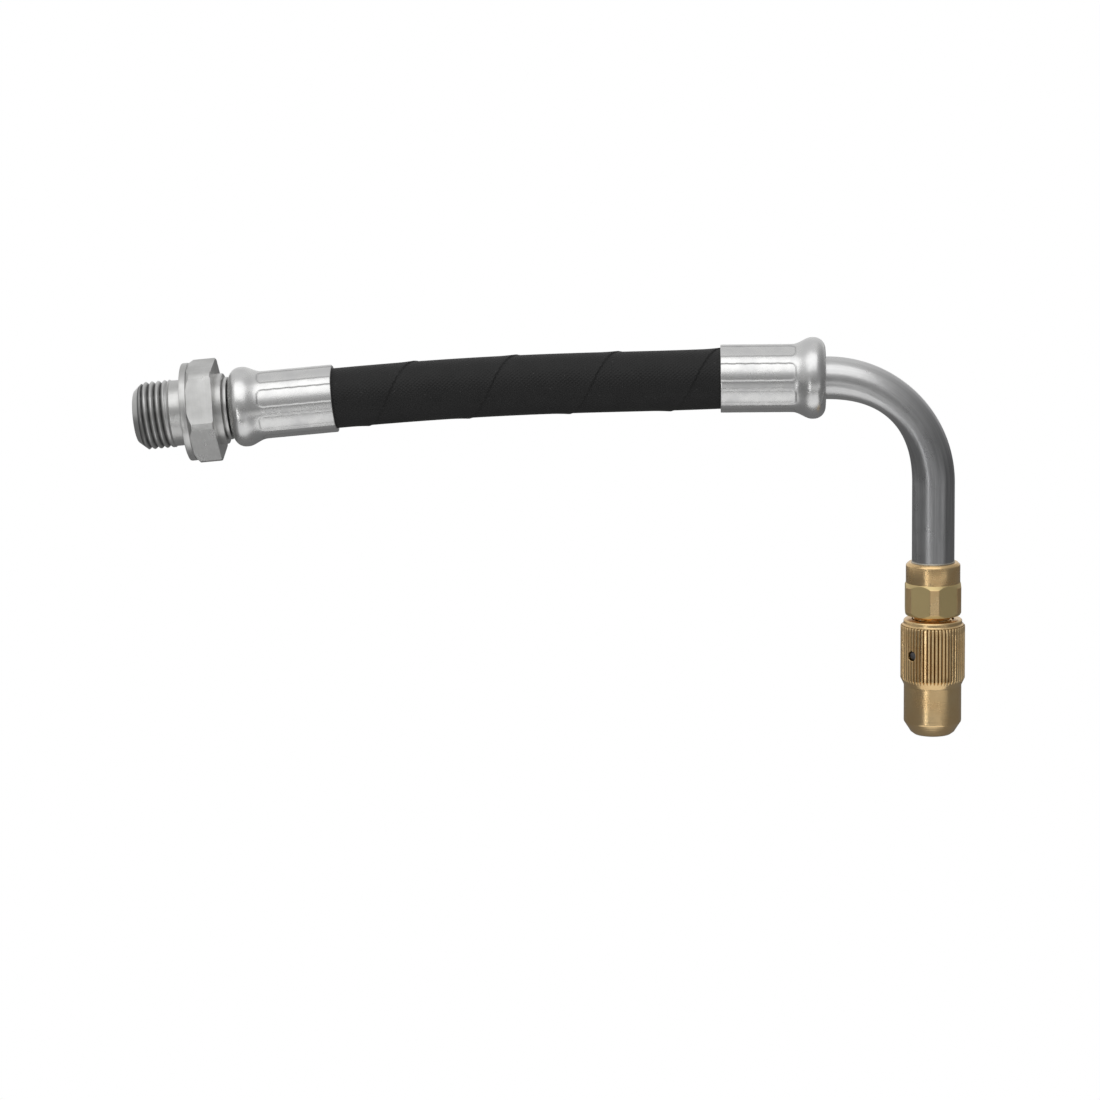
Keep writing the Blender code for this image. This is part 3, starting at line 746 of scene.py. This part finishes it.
def make_ferrule(name, hole_radius, bulge, place, first_ridge):
    """Turn the sleeve's wall, press the dies in, and put it in place."""
    round_radius = 0.00275
    outline = [(0.0012, hole_radius), (0.0, hole_radius)]
    for degrees in range(90, -1, -10):
        angle = math.radians(degrees)
        outline.append(
            (
                round_radius * (1 - math.sin(angle)),
                bulge - round_radius + round_radius * math.cos(angle),
            )
        )
    for height in stepped(round_radius + 0.0003, FLARE_END, 0.0003):
        share = min(1.0, max(0.0, (height - 0.0032) / (FLARE_END - 0.0032)))
        share = share * share * (3 - 2 * share)
        outline.append((height, bulge + (FERRULE_BODY - bulge) * share))
    for height in stepped(FLARE_END + 0.0002, FERRULE_LENGTH - 0.00012, 0.0003):
        outline.append((height, FERRULE_BODY))
    outline += [
        (FERRULE_LENGTH, FERRULE_BODY - 0.00010),
        (FERRULE_LENGTH, FERRULE_BODY - FERRULE_WALL + 0.0001),
        (FERRULE_LENGTH - 0.0001, FERRULE_BODY - FERRULE_WALL),
        (FLARE_END, FERRULE_BODY - FERRULE_WALL),
        (BULGE_END, bulge - 0.0012),
        (0.0030, bulge - 0.0012),
        (0.0012, bulge - 0.0030),
    ]
    shape = lathe(outline, 256)
    press_dies(shape, first_ridge)
    return place_piece(name, shape, place, ferrule_steel, 60.0)


# The hose between the two ferrules droops evenly, by the lean of the spout's axis
joints = {joint["name"]: joint for joint in frame["joints"]}
spout_axis = Vector(joints["sleeve_travel"]["axis"]).normalized()
spout_tip = Vector(joints["sleeve_turn"]["pos_m"])
hose_droop = math.atan2(-spout_axis.x, -spout_axis.z)
HOSE_LENGTH = 0.0908
HOSE_SLACK = 0.0003


def hose_place(length):
    """The hose's middle line at a distance from the inlet ferrule's mouth."""
    angle = hose_droop * length / HOSE_LENGTH
    radius = HOSE_LENGTH / hose_droop
    share = min(1.0, max(0.0, length / HOSE_LENGTH))
    slack = HOSE_SLACK * math.sin(math.pi * share**3)
    point = (
        hose_mouth + radius * math.sin(angle),
        0,
        -radius * (1 - math.cos(angle)) - slack,
    )
    return Matrix.Translation(point) @ Matrix.Rotation(angle, 4, "Y")


# Local X of a turned piece is down (world -Z) on the inlet axis, so a ridge at an
# elevation above the front face -Y is measured from there
inlet_ferrule = make_ferrule(
    "ferrule_inlet",
    NECK_RADIUS + 0.0002,
    FERRULE_BULGE,
    Matrix.Translation((ferrule_start, 0, 0)) @ along_inlet,
    -math.pi / 2 - RIDGE_ANGLE,
)
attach(inlet_ferrule, "inlet")
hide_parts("inlet_ferrule")

outlet_mouth = hose_place(HOSE_LENGTH)
outlet_closed_end = outlet_mouth @ Matrix.Translation((FERRULE_LENGTH, 0, 0))
outlet_ferrule = make_ferrule(
    "ferrule_outlet",
    0.0052,
    FERRULE_BULGE + 0.00015,
    outlet_closed_end @ Matrix.Rotation(-math.pi / 2, 4, "Y"),
    -math.pi / 2 + RIDGE_ANGLE,
)
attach(outlet_ferrule, "outlet")
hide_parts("outlet_ferrule")

# ---------------------------------------------------------------------------
# Hose: DN8 black rubber hose with a textile braid, cured in a cloth wrap. The
# wrap leaves a fine weave all over, and its edge shows as one helix. It is one
# length on the real spout: here it is cut at the middle of each flex body.
# ---------------------------------------------------------------------------
HOSE_RADIUS = 0.0071
HOSE_SQUEEZED = 0.0066
WRAP_LEAD = 0.0238
WRAP_STEP = 0.00020
WRAP_GROOVE = 0.00015
WRAP_GROOVE_SHARE = 0.022
WRAP_START = 0.546

hose_rubber, rubber_tree, rubber_shader, rubber_place = start_finish("hose_rubber", 0.0)
rubber_warp = join_nodes(
    rubber_tree,
    "ShaderNodeMapping",
    {
        "Vector": rubber_place.outputs["UV"],
        "Rotation": (0, 0, math.radians(38)),
    },
)
rubber_weft = join_nodes(
    rubber_tree,
    "ShaderNodeMapping",
    {
        "Vector": rubber_place.outputs["UV"],
        "Rotation": (0, 0, math.radians(-38)),
    },
)
rubber_lines = [
    join_nodes(
        rubber_tree,
        "ShaderNodeTexWave",
        {"Vector": turned.outputs[0], "Scale": 0.48, "Distortion": 0.5, "Detail Scale": 1.5},
    )
    for turned in (rubber_warp, rubber_weft)
]
rubber_weave = join_nodes(
    rubber_tree,
    "ShaderNodeMath",
    {0: rubber_lines[0].outputs["Fac"], 1: rubber_lines[1].outputs["Fac"]},
    operation="MULTIPLY",
)
rubber_skin = use_group(
    rubber_tree,
    metal_skin,
    {
        "Vector": rubber_place.outputs["Object"],
        "Patch Scale": 160.0,
        "Grain Scale": 2600.0,
        "Speck Scale": 420.0,
    },
)
rubber_tone = join_nodes(
    rubber_tree,
    "ShaderNodeMath",
    {0: rubber_weave.outputs[0], 1: 0.5, 2: rubber_skin.outputs["Patches"]},
    operation="MULTIPLY_ADD",
)
rubber_color = join_nodes(
    rubber_tree,
    "ShaderNodeMix",
    {
        "Factor": rubber_tone.outputs[0],
        "A": (0.0038, 0.0038, 0.0040, 1.0),
        "B": (0.0090, 0.0090, 0.0092, 1.0),
    },
    data_type="RGBA",
)
rubber_dust = join_nodes(
    rubber_tree,
    "ShaderNodeMix",
    {
        "Factor": rubber_skin.outputs["Specks"],
        "A": rubber_color.outputs["Result"],
        "B": (0.035, 0.035, 0.035, 1.0),
    },
    data_type="RGBA",
)
rubber_relief = join_nodes(
    rubber_tree,
    "ShaderNodeMath",
    {0: rubber_skin.outputs["Grain"], 1: 0.5, 2: rubber_weave.outputs[0]},
    operation="MULTIPLY_ADD",
)
rubber_bump = join_nodes(
    rubber_tree,
    "ShaderNodeBump",
    {"Height": rubber_relief.outputs[0], "Strength": 0.9, "Distance": 0.00009},
)
rubber_shader.inputs["Roughness"].default_value = 0.62
rubber_tree.links.new(rubber_dust.outputs["Result"], rubber_shader.inputs["Base Color"])
rubber_tree.links.new(rubber_bump.outputs[0], rubber_shader.inputs["Normal"])


def roll_sheet(around, along, point_at, uv_size):
    """Roll a flat sheet into a closed bar: point_at(share round, share along) shapes it."""
    shape = bmesh.new()
    uv = shape.loops.layers.uv.new("UVMap")
    bmesh.ops.create_grid(shape, x_segments=around, y_segments=along, size=1, calc_uvs=True)
    for face in shape.faces:
        for loop in face.loops:
            loop[uv].uv = (loop[uv].uv.x * uv_size[0], uv_size[1] + loop[uv].uv.y * uv_size[2])
    for vert in shape.verts:
        vert.co = point_at((vert.co.x + 1) / 2, (vert.co.y + 1) / 2)
    bmesh.ops.remove_doubles(shape, verts=shape.verts[:], dist=1e-7)
    rims = [edge for edge in shape.edges if edge.is_boundary]
    bmesh.ops.holes_fill(shape, edges=rims, sides=0)
    return shape


def make_hose_piece(name, start, end, radius):
    """A length of hose, solid here, with the wrap's edge as a low helical step."""

    def point_at(turn_share, share):
        length = start + (end - start) * share
        angle = turn_share * math.tau
        # The wrap overlaps itself: it rises slowly and drops at its edge
        rise = (length / WRAP_LEAD - turn_share - WRAP_START) % 1.0
        step = WRAP_STEP * (max(0.0, rise - 0.80) / 0.20) ** 2
        dip = WRAP_GROOVE * max(0.0, 1.0 - rise / WRAP_GROOVE_SHARE)
        skin = radius - 0.00004 + step - dip
        return hose_place(length) @ Vector((0, -math.cos(angle) * skin, math.sin(angle) * skin))

    along = max(4, math.ceil((end - start) / 0.00024))
    turns = math.tau * HOSE_RADIUS * 1000
    shape = roll_sheet(
        144, along, point_at, (turns, start * 1000, (end - start) * 1000)
    )
    return place_piece(name, shape, Matrix.Identity(4), hose_rubber, 60.0)


hose_spacing = HOSE_LENGTH / 6
for index in range(6):
    start = index * hose_spacing
    end = start + hose_spacing
    piece = make_hose_piece(f"hose_length_{index + 1}", start, end, HOSE_RADIUS)
    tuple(hose_place(end).translation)
    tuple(hose_place(start).translation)
    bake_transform(piece)
    if index:
        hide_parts(f"hose_section_{index}")
hose_in_inlet = make_hose_piece("hose_in_inlet", -0.0150, 0.0, HOSE_SQUEEZED)
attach(hose_in_inlet, "inlet")
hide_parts("hose_inlet_end")
hose_in_outlet = make_hose_piece(
    "hose_in_outlet", HOSE_LENGTH, HOSE_LENGTH + 0.0150, HOSE_SQUEEZED
)
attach(hose_in_outlet, "outlet")
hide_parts("hose_outlet_end")

# ---------------------------------------------------------------------------
# Bent tube: 10 mm bright drawn steel, brazed into the outlet's hose tail, bent
# through a quarter turn on a 25 mm former, which flattened it a little inside
# the bend, and brazed into the brass nipple at its lower end.
# ---------------------------------------------------------------------------
TUBE_RADIUS = 0.0050
BEND_START = 0.0003
BEND_RADIUS = 0.0250
LEG_LENGTH = 0.0189
TUBE_IN_TAIL = 0.0060
TUBE_IN_NIPPLE = 0.0040
BEND_FLAT = 0.0011

bend_length = BEND_RADIUS * math.pi / 2
tube_length = TUBE_IN_TAIL + BEND_START + bend_length + LEG_LENGTH + TUBE_IN_NIPPLE


def tube_place(length):
    """The tube's middle line, from its end in the hose tail. Z points out of the bend."""
    length -= TUBE_IN_TAIL + BEND_START
    straight = min(0.0, length)
    bent = min(max(length, 0.0), bend_length)
    down = max(0.0, length - bend_length)
    return (
        outlet_closed_end
        @ Matrix.Translation((BEND_START + straight, 0, -BEND_RADIUS))
        @ Matrix.Rotation(bent / BEND_RADIUS, 4, "Y")
        @ Matrix.Translation((down, 0, BEND_RADIUS))
    )


def tube_point(turn_share, share):
    length = share * tube_length
    angle = turn_share * math.tau
    out = math.sin(angle) * TUBE_RADIUS
    bend_share = (length - TUBE_IN_TAIL - BEND_START) / bend_length
    squeeze = math.sin(math.pi * min(1.0, max(0.0, bend_share))) ** 2
    if out < 0:
        out += BEND_FLAT * squeeze * (-out / TUBE_RADIUS) ** 2
    side = math.cos(angle) * TUBE_RADIUS * (1 + 0.01 * squeeze)
    return tube_place(length) @ Vector((0, -side, out))


tube_steel, steel_tree, steel_shader, steel_place = start_finish("bright_steel_tube", 1.0)
steel_stretch = join_nodes(
    steel_tree,
    "ShaderNodeMapping",
    {"Vector": steel_place.outputs["UV"], "Scale": (1.0, 0.035, 1.0)},
)
steel_streaks = join_nodes(
    steel_tree,
    "ShaderNodeTexNoise",
    {"Vector": steel_stretch.outputs[0], "Scale": 0.9, "Detail": 4.0, "Roughness": 0.6},
)
steel_axes = join_nodes(
    steel_tree, "ShaderNodeSeparateXYZ", {"Vector": steel_place.outputs["UV"]}
)
# Painted shade: the colour darkens between 14 mm and 36 mm along the tube, through the bend, so
# the leg is darker than the part near the ferrule.
painted_leg_shade = join_nodes(
    steel_tree,
    "ShaderNodeMapRange",
    {
        "Value": steel_axes.outputs["Y"],
        "From Min": 14.0,
        "From Max": 36.0,
    },
)
steel_skin = use_group(
    steel_tree,
    metal_skin,
    {
        "Vector": steel_place.outputs["Object"],
        "Patch Scale": 240.0,
        "Grain Scale": 4600.0,
        "Speck Scale": 900.0,
    },
)
steel_bright = join_nodes(
    steel_tree,
    "ShaderNodeMix",
    {
        "Factor": painted_leg_shade.outputs[0],
        "A": (0.80, 0.80, 0.80, 1.0),
        "B": (0.50, 0.503, 0.51, 1.0),
    },
    data_type="RGBA",
)
steel_dull = join_nodes(
    steel_tree,
    "ShaderNodeMix",
    {
        "Factor": painted_leg_shade.outputs[0],
        "A": (0.66, 0.66, 0.66, 1.0),
        "B": (0.35, 0.352, 0.36, 1.0),
    },
    data_type="RGBA",
)
steel_spread = join_nodes(
    steel_tree,
    "ShaderNodeMapRange",
    {"Value": steel_streaks.outputs["Fac"], "From Min": 0.36, "From Max": 0.64},
)
steel_color = join_nodes(
    steel_tree,
    "ShaderNodeMix",
    {
        "Factor": steel_spread.outputs[0],
        "A": steel_dull.outputs["Result"],
        "B": steel_bright.outputs["Result"],
    },
    data_type="RGBA",
)
steel_gloss = join_nodes(
    steel_tree,
    "ShaderNodeMapRange",
    {"Value": steel_skin.outputs["Patches"], "To Min": 0.26, "To Max": 0.36},
)
steel_relief = join_nodes(
    steel_tree,
    "ShaderNodeMath",
    {0: steel_streaks.outputs["Fac"], 1: 1.5, 2: steel_skin.outputs["Grain"]},
    operation="MULTIPLY_ADD",
)
steel_bump = join_nodes(
    steel_tree,
    "ShaderNodeBump",
    {"Height": steel_relief.outputs[0], "Strength": 0.3, "Distance": 0.00005},
)
steel_tree.links.new(steel_color.outputs["Result"], steel_shader.inputs["Base Color"])
steel_tree.links.new(steel_gloss.outputs[0], steel_shader.inputs["Roughness"])
steel_tree.links.new(steel_bump.outputs[0], steel_shader.inputs["Normal"])

tube_turns = math.tau * TUBE_RADIUS * 1000
tube_shape = roll_sheet(112, 180, tube_point, (tube_turns, 0.0, tube_length * 1000))
bent_tube = place_piece("bent_tube", tube_shape, Matrix.Identity(4), tube_steel, 60.0)
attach(bent_tube, "outlet")
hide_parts("elbow_tube")

# ---------------------------------------------------------------------------
# Brazing: a slim bright line of silver at the joint of tube and nipple, and a
# fillet hidden in the outlet ferrule, where tube and hose tail meet.
# ---------------------------------------------------------------------------
SLEEVE_TIP = 0.0415

# Z runs down the nozzle's axis, from the top of the nipple to the sleeve's tip
spout_side = Vector((spout_axis.z, 0, -spout_axis.x))
spout_place = Matrix.Translation(spout_tip)
spout_place @= Matrix((spout_side, Vector((0, 1, 0)), spout_axis)).transposed().to_4x4()
spout_place @= Matrix.Translation((0, 0, -SLEEVE_TIP))
spout_turn = spout_place.to_3x3().inverted().to_euler()

brazing_silver = make_turned_metal(
    "brazing_silver",
    tuple(spout_turn),
    (0.52, 0.50, 0.44),
    (0.68, 0.66, 0.58),
    (0.30, 0.45),
    0.3,
    0.5,
    900.0,
)
braze_line = lathe(
    eased(
        [
            (-0.00030, TUBE_RADIUS - 0.0003),
            (-0.00030, TUBE_RADIUS + 0.00004),
            (-0.00010, TUBE_RADIUS + 0.00014),
            (0.00030, TUBE_RADIUS + 0.00014),
            (0.00030, TUBE_RADIUS - 0.0003),
        ],
        0.0001,
    ),
    96,
)
braze_piece = place_piece("braze_line", braze_line, spout_place, brazing_silver)
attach(braze_piece, "outlet")
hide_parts("nipple_braze_ring")
for node, finish in (("tail_braze_ring", brazing_silver), ("outlet_hose_tail", zinc_steel)):
    frame["nodes"][node].data.materials.clear()
    frame["nodes"][node].data.materials.append(finish)

# ---------------------------------------------------------------------------
# Brass nipple: turned from hexagon bar. A round collar with a socket for the
# tube, a 13 mm hexagon chamfered at both ends, then the threaded neck and the
# hollow stem that the sleeve screws on.
# ---------------------------------------------------------------------------
NIPPLE_COLLAR = 0.0064
NIPPLE_COLLAR_LENGTH = 0.0049
NIPPLE_HEX_END = 0.0125
NIPPLE_FLAT = 0.0065
NIPPLE_LAND = 0.0070
STEM_THREAD = 0.0047
STEM_PITCH = 0.0010
STEM_THREAD_END = 0.0198
STEM_GROOVE_END = 0.0246
STEM_LAND_END = 0.0296
STEM_END = 0.0347

BRASS_DARK = (0.86, 0.58, 0.28)
BRASS_LIGHT = (0.95, 0.71, 0.39)

brass = make_turned_metal(
    "turned_brass",
    tuple(spout_turn),
    BRASS_DARK,
    BRASS_LIGHT,
    (0.20, 0.30),
    3.0,
    0.22,
    3400.0,
)
drawn_brass = make_turned_metal(
    "drawn_brass",
    tuple(spout_turn),
    BRASS_DARK,
    BRASS_LIGHT,
    (0.24, 0.34),
    0.4,
    0.5,
)
bar_flats = mask_near_axis(
    drawn_brass, spout_place.inverted(), 0.00690, 0.00696, 0.0, NIPPLE_HEX_END
)
shade_where(drawn_brass, bar_flats, (0.76, 0.60, 0.30), 0.44)

nipple_outline = [
    (0.0, 0.00505),
    (0.0, NIPPLE_COLLAR - 0.0006),
    (0.0006, NIPPLE_COLLAR),
    (NIPPLE_COLLAR_LENGTH, NIPPLE_COLLAR),
    (NIPPLE_COLLAR_LENGTH, 0.0058),
    (NIPPLE_HEX_END - 0.0001, 0.0058),
    (NIPPLE_HEX_END - 0.0001, STEM_THREAD - 0.0006),
]
nipple_outline = eased(nipple_outline, 0.00015)[1:]
nipple_outline += [
    (height, STEM_THREAD)
    for height in stepped(NIPPLE_HEX_END + 0.0001, STEM_THREAD_END, 0.0001)
]
nipple_outline += [
    (STEM_THREAD_END + 0.0001, 0.0035),
    (STEM_GROOVE_END, 0.0035),
    (STEM_GROOVE_END, 0.0042),
    (STEM_LAND_END, 0.0042),
    (STEM_LAND_END, 0.0036),
    (STEM_END, 0.0036),
    (STEM_END, 0.0026),
    (0.0045, 0.0026),
    (0.0045, 0.00505),
]
nipple_shape = lathe(nipple_outline, 96)
for vert in nipple_shape.verts:
    radius = math.hypot(vert.co.x, vert.co.y)
    if abs(radius - STEM_THREAD) < 1e-6 and vert.co.z > NIPPLE_HEX_END:
        around = math.atan2(vert.co.y, vert.co.x) / math.tau
        phase = (vert.co.z / STEM_PITCH - around) % 1.0
        groove = 0.0006 * min(1.0, max(0.0, (abs(phase - 0.5) * 2.0 - 0.12) / 0.70))
        vert.co.x *= (radius - groove) / radius
        vert.co.y *= (radius - groove) / radius
nipple = place_piece("nipple_body", nipple_shape, spout_place, brass, 50.0)

nipple_hex = lathe(
    [
        (NIPPLE_COLLAR_LENGTH - 0.0001, 0.0055),
        (NIPPLE_COLLAR_LENGTH - 0.0001, NIPPLE_FLAT - 0.0001),
        (NIPPLE_COLLAR_LENGTH + 0.0008, NIPPLE_LAND),
        (NIPPLE_HEX_END - 0.0009, NIPPLE_LAND),
        (NIPPLE_HEX_END, NIPPLE_FLAT - 0.0001),
        (NIPPLE_HEX_END, 0.0055),
    ],
    144,
)
mill_flats(nipple_hex, NIPPLE_FLAT, -math.pi / 3)
nipple_hexagon = place_piece(
    "nipple_hexagon", nipple_hex, spout_place, drawn_brass, 12.0
)
for piece in (nipple, nipple_hexagon):
    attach(piece, "outlet")
    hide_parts("nozzle_nipple")

# ---------------------------------------------------------------------------
# Twist sleeve: turned brass with a straight knurl, a plain lower body, a nose
# cone and the outlet. A chamfered hole on its side takes the steel stop pin.
# ---------------------------------------------------------------------------
SLEEVE_TOP = 0.0136
KNURL_START = 0.0149
KNURL_END = 0.0277
SLEEVE_BODY_START = 0.0294
NOSE_START = 0.0383
KNURL_RADIUS = 0.0076
RIM_RADIUS = 0.0069
SLEEVE_BODY = 0.0068
TIP_RADIUS = 0.0050
OUTLET_RADIUS = 0.00275
SLEEVE_BORE = 0.0045
SLEEVE_THREAD = 0.0050
SLEEVE_THREAD_END = 0.0201
RING_GROOVE = (0.0248, 0.0271)
RING_GROOVE_RADIUS = 0.0063
SEAT = (0.03645, 0.03905)
KNURL_TEETH = 54
KNURL_DEPTH = 0.00036
PIN_HEIGHT = 0.0216
PIN_ANGLE = -math.pi / 2 + math.radians(44.4)
PIN_HOLE = 0.0012

sleeve_outline = eased(
    [
        (SLEEVE_TOP, SLEEVE_THREAD),
        (SLEEVE_TOP, RIM_RADIUS - 0.0003),
        (SLEEVE_TOP + 0.0003, RIM_RADIUS),
        (KNURL_START - 0.0003, RIM_RADIUS),
        (KNURL_START, KNURL_RADIUS - 0.0003),
    ],
    0.0001,
)[2:-1]
sleeve_outline += [
    (height, KNURL_RADIUS) for height in stepped(KNURL_START + 0.0003, KNURL_END, 0.0016)
]
sleeve_outline += [
    (
        height,
        KNURL_RADIUS
        + (SLEEVE_BODY - KNURL_RADIUS) * (height - KNURL_END) / (SLEEVE_BODY_START - KNURL_END),
    )
    for height in stepped(KNURL_END, SLEEVE_BODY_START, 0.00014)[1:]
]
sleeve_outline += [
    (SLEEVE_BODY_START + 0.0003, SLEEVE_BODY - 0.00001),
    (NOSE_START - 0.0003, SLEEVE_BODY),
    (NOSE_START, SLEEVE_BODY - 0.00006),
    (NOSE_START + 0.0002, SLEEVE_BODY - 0.00020),
    (SLEEVE_TIP - 0.0008, TIP_RADIUS + 0.0002),
    (SLEEVE_TIP - 0.0002, TIP_RADIUS - 0.0006),
    (SLEEVE_TIP, TIP_RADIUS - 0.0014),
    (SLEEVE_TIP, OUTLET_RADIUS + 0.0001),
    (SLEEVE_TIP - 0.0001, OUTLET_RADIUS),
    (SEAT[1], OUTLET_RADIUS),
    (SEAT[0], SLEEVE_BORE),
    (RING_GROOVE[1], SLEEVE_BORE),
    (RING_GROOVE[1], RING_GROOVE_RADIUS),
    (RING_GROOVE[0], RING_GROOVE_RADIUS),
    (RING_GROOVE[0], SLEEVE_BORE),
    (SLEEVE_THREAD_END, SLEEVE_BORE),
    (SLEEVE_THREAD_END, SLEEVE_THREAD),
    (SLEEVE_TOP, SLEEVE_THREAD),
]
sleeve_shape = lathe(sleeve_outline, KNURL_TEETH * 8)
for vert in sleeve_shape.verts:
    radius = math.hypot(vert.co.x, vert.co.y)
    if radius < 0.0066 or not KNURL_START - 1e-6 < vert.co.z < SLEEVE_BODY_START + 1e-6:
        continue
    tooth = (math.atan2(vert.co.y, vert.co.x) / math.tau * KNURL_TEETH) % 1.0
    groove = KNURL_DEPTH * max(0.0, 1.0 - abs(tooth - 0.5) / 0.22)
    wanted = min(radius, KNURL_RADIUS - groove)
    vert.co.x *= wanted / radius
    vert.co.y *= wanted / radius
knurled_brass = make_turned_metal(
    "knurled_brass",
    tuple(spout_turn),
    BRASS_DARK,
    BRASS_LIGHT,
    (0.20, 0.30),
    3.0,
    0.22,
    3400.0,
)
# Painted shade: the knurl's grooves get a dark brown colour and a higher roughness, standing in
# for the shade between the teeth.
painted_knurl_shade = mask_near_axis(
    knurled_brass, spout_place.inverted(), 0.00735, 0.00755, KNURL_START, KNURL_END
)
shade_where(knurled_brass, painted_knurl_shade, (0.26, 0.15, 0.05), 0.5)
sleeve = place_piece("sleeve_body", sleeve_shape, spout_place, knurled_brass, 40.0)

pin_side = spout_place @ Matrix.Translation((0, 0, PIN_HEIGHT))
pin_side @= Matrix.Rotation(PIN_ANGLE, 4, "Z") @ Matrix.Rotation(math.pi / 2, 4, "Y")
drill_shape = bmesh.new()
bmesh.ops.create_cone(
    drill_shape,
    cap_ends=True,
    segments=40,
    radius1=PIN_HOLE,
    radius2=PIN_HOLE,
    depth=0.0060,
    matrix=Matrix.Translation((0, 0, 0.0070)),
)
sink_shape = bmesh.new()
bmesh.ops.create_cone(
    sink_shape,
    cap_ends=True,
    segments=40,
    radius1=PIN_HOLE - 0.0004,
    radius2=PIN_HOLE + 0.0006,
    depth=0.0010,
    matrix=Matrix.Translation((0, 0, KNURL_RADIUS - 0.0001)),
)
for name, cutter_shape in (("drill", drill_shape), ("countersink", sink_shape)):
    cutter = place_piece(name, cutter_shape, pin_side, knurled_brass)
    cut = sleeve.modifiers.new(name, "BOOLEAN")
    cut.object = cutter
    cut.operation = "DIFFERENCE"
    cut.solver = "EXACT"
    evaluated = sleeve.evaluated_get(bpy.context.evaluated_depsgraph_get())
    drilled = bpy.data.meshes.new_from_object(evaluated)
    sleeve.modifiers.clear()
    sleeve.data = drilled
    bpy.data.objects.remove(cutter)
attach(sleeve, "sleeve")
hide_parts("twist_sleeve")

# ---------------------------------------------------------------------------
# Stop pin: plain ground steel, pressed into the sleeve's side, its outer end a
# little under the knurl.
# ---------------------------------------------------------------------------
pin_steel = make_turned_metal(
    "pin_steel",
    tuple(pin_side.to_3x3().inverted().to_euler()),
    (0.10, 0.10, 0.11),
    (0.24, 0.24, 0.25),
    (0.35, 0.5),
    0.5,
    0.5,
)
pin_shape = bmesh.new()
bmesh.ops.create_cone(
    pin_shape,
    cap_ends=True,
    segments=40,
    radius1=0.00092,
    radius2=0.00092,
    depth=0.0028,
    matrix=Matrix.Translation((0, 0, KNURL_RADIUS - 0.0005 - 0.0014)),
)
pin_rim = [edge for edge in pin_shape.edges if edge.calc_face_angle(0.0) > 1.0]
bmesh.ops.bevel(
    pin_shape,
    geom=pin_rim,
    offset=0.00015,
    offset_type="OFFSET",
    segments=2,
    profile=0.5,
    affect="EDGES",
    material=-1,
)
stop_pin = place_piece("pin_body", pin_shape, pin_side, pin_steel)
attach(stop_pin, "sleeve")
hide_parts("stop_pin")

# ---------------------------------------------------------------------------
# Valve inside the sleeve: a brass plug in the stem's end with a rubber seal,
# and the sleeve's own rubber ring. They are hidden, and keep their CAD shape.
# ---------------------------------------------------------------------------
seal_rubber, seal_tree, seal_shader, seal_place = start_finish("seal_rubber", 0.0)
seal_skin = use_group(seal_tree, metal_skin, {"Vector": seal_place.outputs["Object"]})
seal_color = join_nodes(
    seal_tree,
    "ShaderNodeMix",
    {
        "Factor": seal_skin.outputs["Patches"],
        "A": (0.008, 0.008, 0.008, 1.0),
        "B": (0.018, 0.018, 0.018, 1.0),
    },
    data_type="RGBA",
)
seal_bump = join_nodes(
    seal_tree,
    "ShaderNodeBump",
    {"Height": seal_skin.outputs["Grain"], "Strength": 0.3, "Distance": 0.00005},
)
seal_shader.inputs["Roughness"].default_value = 0.5
seal_tree.links.new(seal_color.outputs["Result"], seal_shader.inputs["Base Color"])
seal_tree.links.new(seal_bump.outputs[0], seal_shader.inputs["Normal"])
for node, finish in (
    ("valve_plug", brass),
    ("valve_seal", seal_rubber),
    ("sleeve_ring", seal_rubber),
):
    frame["nodes"][node].data.materials.clear()
    frame["nodes"][node].data.materials.append(finish)
